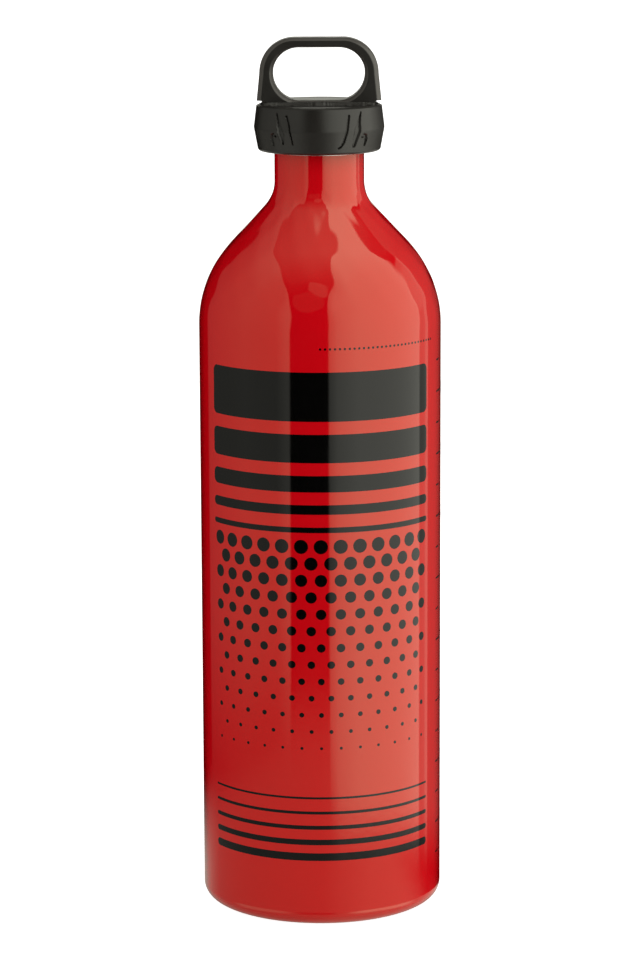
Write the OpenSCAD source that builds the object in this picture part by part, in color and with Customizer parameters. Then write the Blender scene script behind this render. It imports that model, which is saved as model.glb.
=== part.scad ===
// Camping fuel bottle: one-piece aluminium bottle with a push-and-turn screw cap.
// Frame: origin at the centre of the standing ring, +Z up, millimetres.
// The carrying loop lies in the XZ plane, so it is seen flat from the front (-Y).

/* [Bottle body] */
// Outside diameter of the straight wall
body_d = 80; // [66:0.5:100]
// Height at which the straight wall ends and the shoulder begins
body_h = 195.5; // [120:0.5:240]
// Thickness of the wall and of the shoulder
wall_t = 1.0; // [0.8:0.05:2]
// Thickness of the domed base
base_t = 1.6; // [1:0.1:2.5]
// Radius of the outer bottom edge
base_edge_r = 5; // [3:0.25:8]
// Rise of the domed base above the ground
dome_h = 7; // [4:0.5:12]
// Width of the flat standing ring
foot_w = 4; // [2:0.5:8]

/* [Shoulder and neck] */
// Radius of the rounded shoulder
shoulder_r = 39; // [30:0.5:46]
// Lean of the straight stretch between shoulder and neck, from upright
slope_deg = 43; // [35:1:50]
// Radius of the hollow curve where the shoulder runs into the neck
neck_fillet_r = 12; // [8:0.5:15]
// Outside diameter of the neck
neck_d = 29.5; // [28.5:0.25:36]
// Height of the straight neck up to the lip
neck_h = 12.8; // [12:0.2:20]
// Small chamfer on the outer edge of the lip
lip_edge = 0.45; // [0.2:0.05:0.6]
// Flat on top of the lip, between its chamfer and the slanted seat of the seal
lip_flat = 0.08; // [0.05:0.01:0.2]
// Plain bore between the seat of the seal and the first turn of thread
thread_lead = 0.7; // [0.5:0.1:1.5]

/* [Thread] */
// Rise of the thread for one turn
thread_pitch = 3; // [2.6:0.1:3.6]
// Height of each thread ridge above its own cylinder
thread_depth = 1.3; // [1:0.05:1.6]
// Slack between the two threads, both across the flanks and at the crests
thread_gap = 0.25; // [0.2:0.01:0.35]
// Turns of thread in the neck
neck_turns = 2.75; // [2:0.25:4]
// Turns of thread on the plug
plug_turns = 3; // [2:0.25:4]

/* [Seal ring] */
// Thickness of the round rubber cord of the seal ring
seal_d = 1.8; // [1.5:0.05:2.2]
// Slack round the seal ring
seal_gap = 0.08; // [0.05:0.01:0.15]

/* [Threaded plug] */
// How far the flange reaches out past the neck
flange_over = 2.25; // [1.5:0.05:3]
// Thickness of the flange
flange_t = 3; // [2:0.1:4]
// Space between the flange and the lip
flange_gap = 0.3; // [0.2:0.05:0.5]
// Wall round the spring cup
cup_wall = 1.9; // [1.5:0.1:3]
// Thickness of the closed end of the plug
plug_floor_t = 3; // [2:0.1:4]
// Plain length of the plug below its thread
plug_nose = 1.2; // [0.8:0.1:2]

/* [Drive dogs] */
// Number of dogs on the plug, and of dogs under the cap
dogs = 8; // [4:4:12]
// Part of each pitch that one dog fills
dog_fill = 0.42; // [0.3:0.01:0.46]
// Radial width of the dogs
dog_w = 4.2; // [2.5:0.1:5]
// Height by which the two rings of dogs stand apart while the cap spins freely
dog_clear = 0.6; // [0.4:0.05:1]
// Space left under the dogs when the cap is pushed right down
dog_floor = 0.3; // [0.2:0.05:0.6]
// Travel of the cap when it is pushed down
push_travel = 2; // [1.5:0.1:3]

/* [Cap collar] */
// Wall of the collar round the flange, at its bottom
collar_bottom_t = 2.7; // [2.3:0.05:4]
// Wall of the collar at the ridge round its middle
collar_ridge_t = 3.9; // [3.3:0.05:5]
// Wall of the collar at its top
collar_top_t = 3.05; // [2.8:0.05:4]
// Height of the collar
collar_h = 15.2; // [14:0.1:20]
// Height of the ridge above the bottom of the collar
collar_ridge_h = 7.7; // [6:0.1:10]
// How far the collar hangs below the lip of the neck
collar_drop = 3.0; // [2.2:0.1:4]
// Radius of the bottom outer edge of the collar
collar_edge_r = 1.2; // [0.6:0.1:2]
// Slack between the flange and the collar round it
collar_gap = 0.5; // [0.3:0.05:0.8]
// Height of the retaining bead inside the collar
bead_h = 1.5; // [1:0.1:1.7]
// Slack between the retaining bead and the neck, and under the flange
bead_gap = 0.4; // [0.3:0.05:0.6]
// Depth of the grip grooves
groove_depth = 0.8; // [0.3:0.1:1]

/* [Cap top and loop] */
// Thickness of the round cap top
top_t = 3.1; // [2.5:0.1:4]
// How far the cap top stands above the edge of the collar
top_proud = 0.8; // [0.1:0.1:1]
// Thickness of the collar rim round the cap top
rim_t = 1.6; // [1.2:0.05:1.6]
// Slack round the cap top in the collar
top_gap = 0.04; // [0.02:0.01:0.08]
// Height of the loop above the collar
loop_h = 21.6; // [18:0.1:34]
// How far each side of the loop lies in from the top edge of the collar
loop_in = 1.1; // [0.5:0.05:2]
// How far the outside of each foot lies in from the top edge of the collar
loop_foot_in = 0.2; // [0:0.05:0.5]
// Depth of the loop from front to back
loop_depth = 9.6; // [6:0.1:14]
// Width of the two limbs of the loop
limb_w = 4.5; // [3.5:0.1:6]
// Height of the bar at the top of the loop
bar_h = 3.2; // [2.8:0.1:6]
// Radius of the two upper corners of the loop
loop_corner_r = 11.5; // [8:0.1:14]
// Bevel on the outer edges of the loop
outer_bevel = 1.4; // [0.6:0.1:2]
// Bevel on the edges of the opening
inner_bevel = 0.7; // [0.4:0.1:1]
// Height of the open slit between the feet and the collar
foot_gap = 1.2; // [0.6:0.1:2]
// Height of the web left on the cap top under the opening
sill_h = 0.5; // [0.3:0.1:2]

/* [Cap spring] */
// Diameter of the spring wire
spring_wire_d = 1.1; // [0.8:0.05:1.4]
// Number of coils
spring_coils = 5; // [3:0.5:6]
// Slack between the spring and the cup round it
spring_side_gap = 0.7; // [0.4:0.05:1]
// Slack at each end of the spring
spring_end_gap = 0.15; // [0.1:0.05:0.3]

/* [Hidden] */

$fn = 96;
arc_steps = 12;
thread_steps = 30;     // rings to one turn of thread
spring_steps = 20;     // rings to one turn of the spring
spring_sides = 8;
thread_sink = 0.35;    // how deep a thread ridge is rooted in its cylinder
flank_lean = 0.35;     // how far the flank of a ridge leans for its height
fade_steps = 6;        // rings over which a thread ridge grows to its height
fade_from = 0.15;      // share of its height that a ridge has at its very end
join = 0.2;            // how deep joined shapes run into each other

// Bottle
body_r = body_d / 2;
foot_out_r = body_r - base_edge_r;
foot_in_r = foot_out_r - foot_w;
dome_r = (foot_in_r * foot_in_r + dome_h * dome_h) / (2 * dome_h);
dome_deg = asin(foot_in_r / dome_r);

// Shoulder: arc, straight slope, hollow arc, each starting where the last one ends
neck_r = neck_d / 2;
slope_top_r = neck_r + neck_fillet_r * (1 - cos(slope_deg));
slope_low_r = body_r - shoulder_r * (1 - cos(slope_deg));
slope_low_z = body_h + shoulder_r * sin(slope_deg);
slope_top_z = slope_low_z + (slope_low_r - slope_top_r) / tan(slope_deg);
neck_z = slope_top_z + neck_fillet_r * sin(slope_deg);
lip_z = neck_z + neck_h;

// Seal ring: round the plug, under its flange, on the slanted seat of the lip, which sets the wall there
seal_r = seal_d / 2;
seat_r = neck_r - lip_edge - lip_flat;
core_r = seat_r + flange_gap - seal_r * (2 + sqrt(2));
flange_z = lip_z + flange_gap;
seal_z = flange_z - seal_r;
bore_r = core_r + thread_depth + thread_gap;
neck_t = neck_r - bore_r;

// Thread: each ridge is as wide at half height as half the pitch less its slack
ridge_mid_w = thread_pitch / 2 - thread_gap;
ridge_base_w = ridge_mid_w + flank_lean * thread_depth;
ridge_tip_w = ridge_mid_w - flank_lean * thread_depth;
thread_top_z = lip_z - (seat_r - bore_r) - thread_lead;
neck_thread_z = thread_top_z - ridge_base_w / 2 - neck_turns * thread_pitch;
bore_low_z = min(neck_z, neck_thread_z - ridge_base_w / 2);

// Plug: its ridges run midway between those of the neck, and its thread ends just below theirs
flange_r = neck_r + flange_over;
flange_top_z = flange_z + flange_t;
plug_thread_start = neck_turns + 0.25 - plug_turns;
plug_thread_z = neck_thread_z + (plug_thread_start - 0.5) * thread_pitch;
plug_z = plug_thread_z - ridge_base_w / 2 - plug_nose;
cup_r = core_r - cup_wall;
cup_z = plug_z + plug_floor_t;
nose_edge = 0.8;
flange_edge = 0.5;

// Collar
collar_z = lip_z - collar_drop;
collar_top_z = collar_z + collar_h;
collar_bore_r = flange_r + collar_gap;
collar_bottom_r = collar_bore_r + collar_bottom_t;
collar_ridge_r = collar_bore_r + collar_ridge_t;
collar_top_r = collar_bore_r + collar_top_t;
bead_r = neck_r + bead_gap;
bead_top_z = flange_z - bead_gap;
rebate_r = collar_top_r - rim_t;
bore_flare = 0.3;
collar_top_edge = 0.4;

// Grip grooves: angle from the front, height from the ridge, length, width and lean
grooves = [[25, 0, 8.5, 0.7, 14], [36, 0, 9, 1.0, 12], [44, -3.2, 3.4, 0.9, 2]];

// Cap top
top_z = collar_top_z + top_proud;
top_under_z = top_z - top_t;
top_r = rebate_r - top_gap;

// Dogs
dog_rim = 0.8;         // bare edge of the flange round the dogs
dog_out_r = flange_r - dog_rim;
dog_in_r = dog_out_r - dog_w;
dog_h = push_travel - dog_clear + dog_floor;
cap_dog_z = flange_top_z + push_travel + dog_floor;
dog_pitch_deg = 360 / dogs;
dog_deg = dog_pitch_deg * dog_fill;

// Loop
loop_r = collar_top_r - loop_in;
loop_foot_r = collar_top_r - loop_foot_in;
loop_top_z = collar_top_z + loop_h;
foot_z = collar_top_z + foot_gap;
open_r = loop_r - limb_w;
open_top_z = loop_top_z - bar_h;
open_low_z = top_z + sill_h;
open_corner_r = min(loop_corner_r - bar_h, (open_top_z - open_low_z) / 2);
foot_rounder = 0.6;    // how much larger the radius of the opening is at the feet
open_foot_r = min(open_corner_r + foot_rounder, (open_top_z - open_low_z) / 2);
web_in = 0.4;          // how far the web under the loop ends short of the edge of the cap top
web_step = 0.2;        // how far the faces of the web lie behind those of the loop

// Spring
spring_r = cup_r - spring_side_gap - spring_wire_d / 2;
spring_low_z = cup_z + spring_end_gap + spring_wire_d / 2;
spring_top_z = top_under_z - spring_end_gap - spring_wire_d / 2;
spigot_gap = 0.4;
spigot_r = spring_r - spring_wire_d / 2 - spigot_gap;
spigot_h = 2.2;

black = [0.17, 0.17, 0.16];

// Points of an arc about [cx, cy], from one angle to another
function arc(cx, cy, r, from, to) =
    [for (i = [0:arc_steps])
        let (a = from + (to - from) * i / arc_steps)
        [cx + r * cos(a), cy + r * sin(a)]];

// A section in the [radius, height] plane, turned about Z by so many turns and lifted
function turned(section, turns, lift) =
    [for (p = section) [p[0] * cos(360 * turns), p[0] * sin(360 * turns), p[1] + lift]];

// A ridge's section, widest on its root; inner point first, so it runs anticlockwise
function ridge(root_r, tip_r) =
    root_r < tip_r
        ? [[root_r, -ridge_base_w / 2], [tip_r, -ridge_tip_w / 2],
           [tip_r, ridge_tip_w / 2], [root_r, ridge_base_w / 2]]
        : [[tip_r, -ridge_tip_w / 2], [root_r, -ridge_base_w / 2],
           [root_r, ridge_base_w / 2], [tip_r, ridge_tip_w / 2]];

// Closed skin over a row of rings that have as many points each
module ring_skin(rings) {
    m = len(rings[0]);
    n = len(rings);
    sides = [for (k = [0:n - 2], i = [0:m - 1])
        let (a = k * m + i, b = k * m + (i + 1) % m)
        each [[a, b, b + m], [a, b + m, a + m]]];
    ends = [for (i = [1:m - 2])
        each [[0, i + 1, i], [(n - 1) * m, (n - 1) * m + i, (n - 1) * m + i + 1]]];
    polyhedron([for (r = rings) each r], concat(sides, ends), convexity = 10);
}

// One start of right-hand thread on a cylinder of radius side_r, fading in and out at its ends
module thread(side_r, tip_r, z, turns) {
    n = round(turns * thread_steps);
    sunk_r = side_r + sign(side_r - tip_r) * thread_sink;
    function grown(k) = min(1, k / fade_steps, (n - k) / fade_steps);
    ring_skin([for (k = [0:n])
        turned(ridge(sunk_r, sunk_r + (tip_r - sunk_r) * (fade_from + (1 - fade_from) * grown(k))),
            k / thread_steps, z + k / thread_steps * thread_pitch)]);
}

// One-piece bottle: domed base, straight wall, shoulder, thick threaded neck
module bottle_shell() {
    outside = concat(
        arc(0, dome_h - dome_r, dome_r, 90, 90 - dome_deg),
        arc(foot_out_r, base_edge_r, base_edge_r, -90, 0),
        arc(body_r - shoulder_r, body_h, shoulder_r, 0, slope_deg),
        arc(neck_r + neck_fillet_r, neck_z, neck_fillet_r, 180 + slope_deg, 180),
        [[neck_r, lip_z - lip_edge], [neck_r - lip_edge, lip_z]]
    );
    inside = concat(
        [[seat_r, lip_z], [bore_r, lip_z - seat_r + bore_r]],
        arc(neck_r + neck_fillet_r, bore_low_z, neck_fillet_r + neck_t, 180, 180 + slope_deg),
        arc(body_r - shoulder_r, body_h, shoulder_r - wall_t, slope_deg, 0),
        arc(foot_out_r, base_edge_r, base_edge_r - wall_t, 0, -90),
        arc(0, dome_h - dome_r, dome_r + base_t, 90 - dome_deg, 90)
    );
    color([0.78, 0.07, 0.07]) {
        rotate_extrude() polygon(concat(outside, inside));
        thread(bore_r, bore_r - thread_depth, neck_thread_z, neck_turns);
    }
}

// Rubber ring between the flange of the plug and the lip
module seal_ring() {
    color([0.08, 0.08, 0.08])
        rotate_extrude() translate([core_r + seal_r, seal_z]) circle(r = seal_r - seal_gap);
}

// A ring of drive dogs, from height z up to z + h, turned by so many degrees
module dog_ring(z, h, turn) {
    for (i = [0:dogs - 1])
        rotate([0, 0, i * dog_pitch_deg + turn - dog_deg / 2])
            rotate_extrude(angle = dog_deg) translate([dog_in_r, z]) square([dog_w, h]);
}

// Male plug: closed threaded shank, cup for the spring, flange and upward dogs
module inner_plug() {
    color(black) {
        rotate_extrude() polygon([
            [0, plug_z], [core_r - nose_edge, plug_z], [core_r, plug_z + nose_edge],
            [core_r, flange_z], [flange_r, flange_z], [flange_r, flange_top_z - flange_edge],
            [flange_r - flange_edge, flange_top_z], [cup_r, flange_top_z], [cup_r, cup_z], [0, cup_z]
        ]);
        rotate([0, 0, 360 * plug_thread_start])
            thread(core_r, core_r + thread_depth, plug_thread_z, plug_turns);
        dog_ring(flange_top_z - join, dog_h + join, 0);
    }
}

// Compression spring that holds the cap up, so that the dogs stay apart
module cap_spring() {
    n = round(spring_coils * spring_steps);
    wire = [for (i = [0:spring_sides - 1])
        let (a = 360 * i / spring_sides)
        [spring_r + spring_wire_d / 2 * cos(a), spring_wire_d / 2 * sin(a)]];
    rise = spring_top_z - spring_low_z;
    rings = [for (k = [0:n]) turned(wire, k / spring_steps, spring_low_z + rise * k / n)];
    next_coil = [for (k = [0:n - spring_steps], i = [0:spring_sides - 1], j = [0:spring_sides - 1])
        norm(rings[k][i] - rings[k + spring_steps][j])];
    echo(spring_least_gap = min(next_coil));
    color([0.75, 0.76, 0.78]) ring_skin(rings);
}

// A slanted grip groove: its angle, the height of its middle, its length, width and lean
module groove(turn, z, length, width, lean) {
    rotate([0, 0, turn])
        translate([0, -collar_ridge_r, z])
            rotate([0, lean, 0])
                cube([width, 2 * groove_depth, length], center = true);
}

// Collar of the cap: grip outside, retaining bead inside, rebate for the cap top
module grip_collar() {
    outside = concat(
        arc(collar_bottom_r - collar_edge_r, collar_z + collar_edge_r, collar_edge_r, -90, 0),
        [[collar_ridge_r, collar_z + collar_ridge_h],
         [collar_top_r, collar_top_z - collar_top_edge],
         [collar_top_r - collar_top_edge, collar_top_z]]
    );
    inside = [
        [rebate_r, collar_top_z], [rebate_r, top_under_z], [collar_bore_r, top_under_z],
        [collar_bore_r, bead_top_z], [bead_r, bead_top_z], [bead_r, bead_top_z - bead_h],
        [collar_bore_r - bore_flare, collar_z]
    ];
    color(black) difference() {
        rotate_extrude() polygon(concat(outside, inside));
        for (face = [0, 180], side = [-1, 1], g = grooves)
            groove(face + side * g[0], collar_z + collar_ridge_h + g[1], g[2], g[3], side * g[4]);
    }
}

// Flat outline of the loop, drawn in by so much: two corners and the feet
module loop_outline(inset) {
    x = loop_r - loop_corner_r;
    z = loop_top_z - loop_corner_r;
    foot_x = loop_foot_r - inset;
    polygon(concat(
        [[foot_x, foot_z]],
        arc(x, z, loop_corner_r - inset, 0, 90),
        arc(-x, z, loop_corner_r - inset, 90, 180),
        [[-foot_x, foot_z]]
    ));
}

// Flat outline of the opening, widened by so much
module opening_outline(spread) {
    top_x = open_r - open_corner_r;
    foot_x = open_r - open_foot_r;
    polygon(concat(
        arc(top_x, open_top_z - open_corner_r, open_corner_r + spread, 0, 90),
        arc(-top_x, open_top_z - open_corner_r, open_corner_r + spread, 90, 180),
        arc(-foot_x, open_low_z + open_foot_r, open_foot_r + spread, 180, 270),
        arc(foot_x, open_low_z + open_foot_r, open_foot_r + spread, 270, 360)
    ));
}

// A flat outline stood up in the XZ plane, so deep from front to back
module upright(depth) {
    rotate([90, 0, 0]) linear_extrude(depth, center = true) children();
}

// Bevelled carrying loop on its low web
module loop() {
    difference() {
        union() {
            hull() {
                upright(loop_depth - 2 * outer_bevel) loop_outline(0);
                upright(loop_depth) loop_outline(outer_bevel);
            }
            upright(loop_depth - 2 * web_step)
                translate([web_in - top_r, top_z - join])
                    square([2 * (top_r - web_in), foot_z - top_z + 2 * join]);
        }
        upright(loop_depth + 2) opening_outline(0);
        for (face = [-1, 1])
            hull() {
                translate([0, face * (loop_depth / 2 + 1), 0])
                    upright(0.01) opening_outline(inner_bevel + 1);
                translate([0, face * (loop_depth / 2 - inner_bevel), 0])
                    upright(0.01) opening_outline(0);
            }
    }
}

// Cap top with its carrying loop, downward dogs and a spigot for the spring
module cap_handle() {
    color(black) {
        translate([0, 0, top_under_z]) cylinder(r = top_r, h = top_t);
        dog_ring(cap_dog_z, top_under_z - cap_dog_z + join, dog_pitch_deg / 2);
        translate([0, 0, top_under_z - spigot_h]) cylinder(r = spigot_r, h = spigot_h + join);
        loop();
    }
}

bottle_shell();
seal_ring();
inner_plug();
cap_spring();
grip_collar();
cap_handle();
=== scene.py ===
import math

import bpy
import numpy as np
from bpy.props import FloatProperty, FloatVectorProperty, IntProperty, PointerProperty
from bpy.types import Operator, Panel, PropertyGroup
from mathutils import Matrix, Vector


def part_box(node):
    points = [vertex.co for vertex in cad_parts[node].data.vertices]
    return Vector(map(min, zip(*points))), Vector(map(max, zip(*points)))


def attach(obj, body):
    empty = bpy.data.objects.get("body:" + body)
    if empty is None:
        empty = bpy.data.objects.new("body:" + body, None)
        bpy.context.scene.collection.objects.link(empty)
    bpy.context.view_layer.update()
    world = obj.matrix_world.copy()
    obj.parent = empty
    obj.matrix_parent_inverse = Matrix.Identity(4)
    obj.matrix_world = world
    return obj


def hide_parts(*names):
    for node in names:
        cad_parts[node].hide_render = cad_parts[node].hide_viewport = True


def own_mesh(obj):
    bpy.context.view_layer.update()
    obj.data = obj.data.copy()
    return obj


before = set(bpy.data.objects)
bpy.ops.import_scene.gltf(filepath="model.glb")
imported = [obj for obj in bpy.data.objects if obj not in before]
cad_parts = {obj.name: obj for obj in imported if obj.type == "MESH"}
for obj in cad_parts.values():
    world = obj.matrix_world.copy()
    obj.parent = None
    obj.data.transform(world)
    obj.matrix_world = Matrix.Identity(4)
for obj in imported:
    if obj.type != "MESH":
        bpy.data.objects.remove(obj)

bl_info = {
    "name": "Camping fuel bottle",
    "version": (1, 0, 0),
    "blender": (4, 5, 0),
    "location": "3D View > Sidebar > Fuel bottle",
    "description": "Lacquered bottle, its print, its screw cap and a studio, built round the packed frame",
    "category": "Object",
}

MM = 0.001

# Corners of the packed pieces, from which the defaults come
SHELL_LOW, SHELL_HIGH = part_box("bottle_shell")
COLLAR_LOW, COLLAR_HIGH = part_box("grip_collar")
HANDLE_LOW, HANDLE_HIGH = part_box("cap_handle")
PLUG_LOW, PLUG_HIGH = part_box("inner_plug")
SEAL_LOW, SEAL_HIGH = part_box("seal_ring")
SPRING_LOW, SPRING_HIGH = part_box("cap_spring")


# Sizes and colours

class BottleShape(PropertyGroup):
    """Sizes of the one-piece aluminium bottle."""
    ink: FloatProperty(
        name="Ink thickness", description="Thickness of the printed ink on the wall",
        default=0.02 * MM, unit="LENGTH", precision=5)
    wall_top: FloatProperty(
        name="Wall top", description="Height at which the straight wall ends and the shoulder begins",
        default=195.5 * MM, unit="LENGTH")
    wall: FloatProperty(
        name="Wall thickness", description="Thickness of the wall and of the shoulder",
        default=1.0 * MM, unit="LENGTH", precision=4)
    base: FloatProperty(
        name="Base thickness", description="Thickness of the domed base",
        default=1.6 * MM, unit="LENGTH", precision=4)
    base_edge: FloatProperty(
        name="Bottom edge radius", description="Radius of the outer bottom edge",
        default=5 * MM, unit="LENGTH")
    dome: FloatProperty(
        name="Dome rise", description="Rise of the domed base above the ground",
        default=7 * MM, unit="LENGTH")
    foot: FloatProperty(
        name="Foot width", description="Width of the flat standing ring",
        default=4 * MM, unit="LENGTH")
    shoulder: FloatProperty(
        name="Shoulder radius", description="Radius of the rounded shoulder",
        default=39 * MM, unit="LENGTH")
    slope: FloatProperty(
        name="Slope", description="Lean of the straight stretch between shoulder and neck, from upright",
        default=math.radians(43), subtype="ANGLE")
    neck_fillet: FloatProperty(
        name="Neck fillet", description="Radius of the hollow curve where the shoulder runs into the neck",
        default=12 * MM, unit="LENGTH")
    neck: FloatProperty(
        name="Neck radius", description="Outside radius of the bare neck",
        default=14.75 * MM, unit="LENGTH", precision=5)
    bore: FloatProperty(
        name="Bore radius", description="Radius of the neck's bore between its turns of thread",
        default=13.0 * MM, unit="LENGTH", precision=5)
    seat: FloatProperty(
        name="Seat radius", description="Outer radius of the slanted seat of the seal ring",
        default=14.22 * MM, unit="LENGTH", precision=5)
    lip_edge: FloatProperty(
        name="Lip edge", description="Chamfer on the outer edge of the lip",
        default=0.45 * MM, unit="LENGTH", precision=5)
    lacquer_top: FloatProperty(
        name="Lacquer top", description="How far below the lip the lacquer ends",
        default=3.55 * MM, unit="LENGTH", precision=4)
    lacquer: FloatProperty(
        name="Lacquer thickness", description="Step from the lacquer down to the bare metal of the neck",
        default=0.03 * MM, unit="LENGTH", precision=5)
    ripple: FloatProperty(
        name="Ripple depth", description="Depth of the faint ripples that spinning left in the shoulder",
        default=0.22 * MM, unit="LENGTH", precision=5)


class ThreadShape(PropertyGroup):
    """Sizes of the thread in the neck and on the plug."""
    pitch: FloatProperty(
        name="Pitch", description="Rise of the thread for one turn",
        default=3.0 * MM, unit="LENGTH", precision=4)
    depth: FloatProperty(
        name="Depth", description="Height of a ridge above its own cylinder",
        default=1.3 * MM, unit="LENGTH", precision=4)
    root: FloatProperty(
        name="Root width", description="Width of a ridge at its root",
        default=1.705 * MM, unit="LENGTH", precision=5)
    tip: FloatProperty(
        name="Tip width", description="Width of a ridge at its tip",
        default=0.795 * MM, unit="LENGTH", precision=5)
    neck_turns: FloatProperty(
        name="Turns in the neck", description="Turns of thread in the neck", default=2.75)
    neck_start: FloatProperty(
        name="Neck thread start", description="Height at which the neck's ridge starts",
        default=244.445 * MM, unit="LENGTH", precision=5)
    plug_turns: FloatProperty(
        name="Turns on the plug", description="Turns of thread on the plug", default=3.0)
    plug_start: FloatProperty(
        name="Plug thread start", description="Height at which the plug's ridge starts",
        default=242.945 * MM, unit="LENGTH", precision=5)
    fade: FloatProperty(
        name="Fade", description="Part of a turn in which a ridge grows to its height", default=0.2)


class PlugShape(PropertyGroup):
    """Sizes of the threaded plug and its drive dogs."""
    core: FloatProperty(
        name="Core radius", description="Radius of the plug between its turns of thread",
        default=11.447 * MM, unit="LENGTH", precision=5)
    cup: FloatProperty(
        name="Cup radius", description="Radius of the cup that holds the spring",
        default=9.547 * MM, unit="LENGTH", precision=5)
    floor: FloatProperty(
        name="Floor thickness", description="Thickness of the closed end of the plug",
        default=3.0 * MM, unit="LENGTH", precision=4)
    nose: FloatProperty(
        name="Nose edge", description="Chamfer on the lower end of the plug",
        default=0.8 * MM, unit="LENGTH", precision=4)
    flange: FloatProperty(
        name="Flange thickness", description="Thickness of the flange",
        default=3.0 * MM, unit="LENGTH", precision=4)
    flange_edge: FloatProperty(
        name="Flange edge", description="Chamfer on the upper edge of the flange",
        default=0.5 * MM, unit="LENGTH", precision=4)
    dogs: IntProperty(
        name="Dogs", description="Number of drive dogs on the plug, and of dogs under the cap", default=8)
    dog_fill: FloatProperty(
        name="Dog fill", description="Part of each pitch that one dog fills", default=0.42)
    dog_width: FloatProperty(
        name="Dog width", description="Radial width of the dogs",
        default=4.2 * MM, unit="LENGTH", precision=4)
    dog_rim: FloatProperty(
        name="Dog rim", description="Bare edge of the flange round the dogs",
        default=0.8 * MM, unit="LENGTH", precision=4)
    dog_height: FloatProperty(
        name="Dog height", description="Height of the dogs on the plug",
        default=1.7 * MM, unit="LENGTH", precision=4)
    wire: FloatProperty(
        name="Spring wire", description="Diameter of the spring's wire",
        default=1.1 * MM, unit="LENGTH", precision=4)
    coils: IntProperty(
        name="Coils", description="Number of coils of the spring", default=5)


class CapShape(PropertyGroup):
    """Sizes of the collar, the cap top and the carrying loop."""
    ridge_height: FloatProperty(
        name="Ridge height", description="Height of the ridge above the bottom of the collar",
        default=7.7 * MM, unit="LENGTH")
    bottom: FloatProperty(
        name="Bottom radius", description="Outside radius of the collar at its bottom",
        default=20.2 * MM, unit="LENGTH", precision=4)
    top: FloatProperty(
        name="Top radius", description="Outside radius of the collar at its top",
        default=20.55 * MM, unit="LENGTH", precision=4)
    bottom_edge: FloatProperty(
        name="Bottom edge", description="Radius of the bottom outer edge of the collar",
        default=1.2 * MM, unit="LENGTH", precision=4)
    top_edge: FloatProperty(
        name="Top edge", description="How far the collar's rim falls toward its outer edge",
        default=0.5 * MM, unit="LENGTH", precision=4)
    bore: FloatProperty(
        name="Collar bore", description="Radius of the collar round the flange of the plug",
        default=17.5 * MM, unit="LENGTH", precision=4)
    bead: FloatProperty(
        name="Bead radius", description="Inner radius of the retaining bead",
        default=15.15 * MM, unit="LENGTH", precision=5)
    bead_low: FloatProperty(
        name="Bead bottom", description="Height of the underside of the retaining bead above the collar's bottom",
        default=1.4 * MM, unit="LENGTH", precision=4)
    bead_height: FloatProperty(
        name="Bead height", description="Height of the retaining bead",
        default=1.5 * MM, unit="LENGTH", precision=4)
    rim: FloatProperty(
        name="Rim", description="Thickness of the collar's rim round the cap top",
        default=1.6 * MM, unit="LENGTH", precision=4)
    gap: FloatProperty(
        name="Shadow gap", description="Width of the open groove between the collar and the cap top",
        default=0.5 * MM, unit="LENGTH", precision=4)
    groove_depth: FloatProperty(
        name="Groove depth", description="Depth of the grip grooves",
        default=0.8 * MM, unit="LENGTH", precision=4)
    lid: FloatProperty(
        name="Cap top radius", description="Radius of the round cap top",
        default=18.91 * MM, unit="LENGTH", precision=4)
    lid_height: FloatProperty(
        name="Cap top height", description="Height of the cap top above the top of the collar",
        default=0.8 * MM, unit="LENGTH", precision=4)
    lid_front: FloatProperty(
        name="Front recess", description="How far the cap top lies lower in front of the loop",
        default=1.15 * MM, unit="LENGTH", precision=4)
    lid_thick: FloatProperty(
        name="Cap top thickness", description="Thickness of the round cap top",
        default=3.1 * MM, unit="LENGTH", precision=4)
    loop: FloatProperty(
        name="Loop half width", description="Half the width of the loop above its feet",
        default=19.45 * MM, unit="LENGTH", precision=4)
    loop_corner: FloatProperty(
        name="Loop corners", description="Radius of the two upper corners of the loop",
        default=11.5 * MM, unit="LENGTH", precision=4)
    loop_depth: FloatProperty(
        name="Loop depth", description="Depth of the loop from front to back",
        default=9.6 * MM, unit="LENGTH", precision=4)
    limb: FloatProperty(
        name="Limbs", description="Width of the two limbs of the loop",
        default=4.5 * MM, unit="LENGTH", precision=4)
    bar: FloatProperty(
        name="Top bar", description="Height of the bar at the top of the loop",
        default=3.2 * MM, unit="LENGTH", precision=4)
    outer_bevel: FloatProperty(
        name="Outer bevel", description="Bevel on the outer edges of the loop",
        default=1.4 * MM, unit="LENGTH", precision=4)
    inner_bevel: FloatProperty(
        name="Inner bevel", description="Bevel on the edges of the opening",
        default=1.1 * MM, unit="LENGTH", precision=4)
    foot_gap: FloatProperty(
        name="Foot gap", description="Height of the open slit between the feet and the collar",
        default=1.2 * MM, unit="LENGTH", precision=4)
    sill: FloatProperty(
        name="Sill", description="Height of the web on the cap top under the opening",
        default=0.5 * MM, unit="LENGTH", precision=4)
    web_in: FloatProperty(
        name="Web inset", description="How far the web ends short of the edge of the cap top",
        default=0.4 * MM, unit="LENGTH", precision=4)
    spigot: FloatProperty(
        name="Spigot radius", description="Radius of the spigot that centres the spring",
        default=7.35 * MM, unit="LENGTH", precision=4)
    spigot_height: FloatProperty(
        name="Spigot height", description="Height of the spigot",
        default=2.2 * MM, unit="LENGTH", precision=4)


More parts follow.
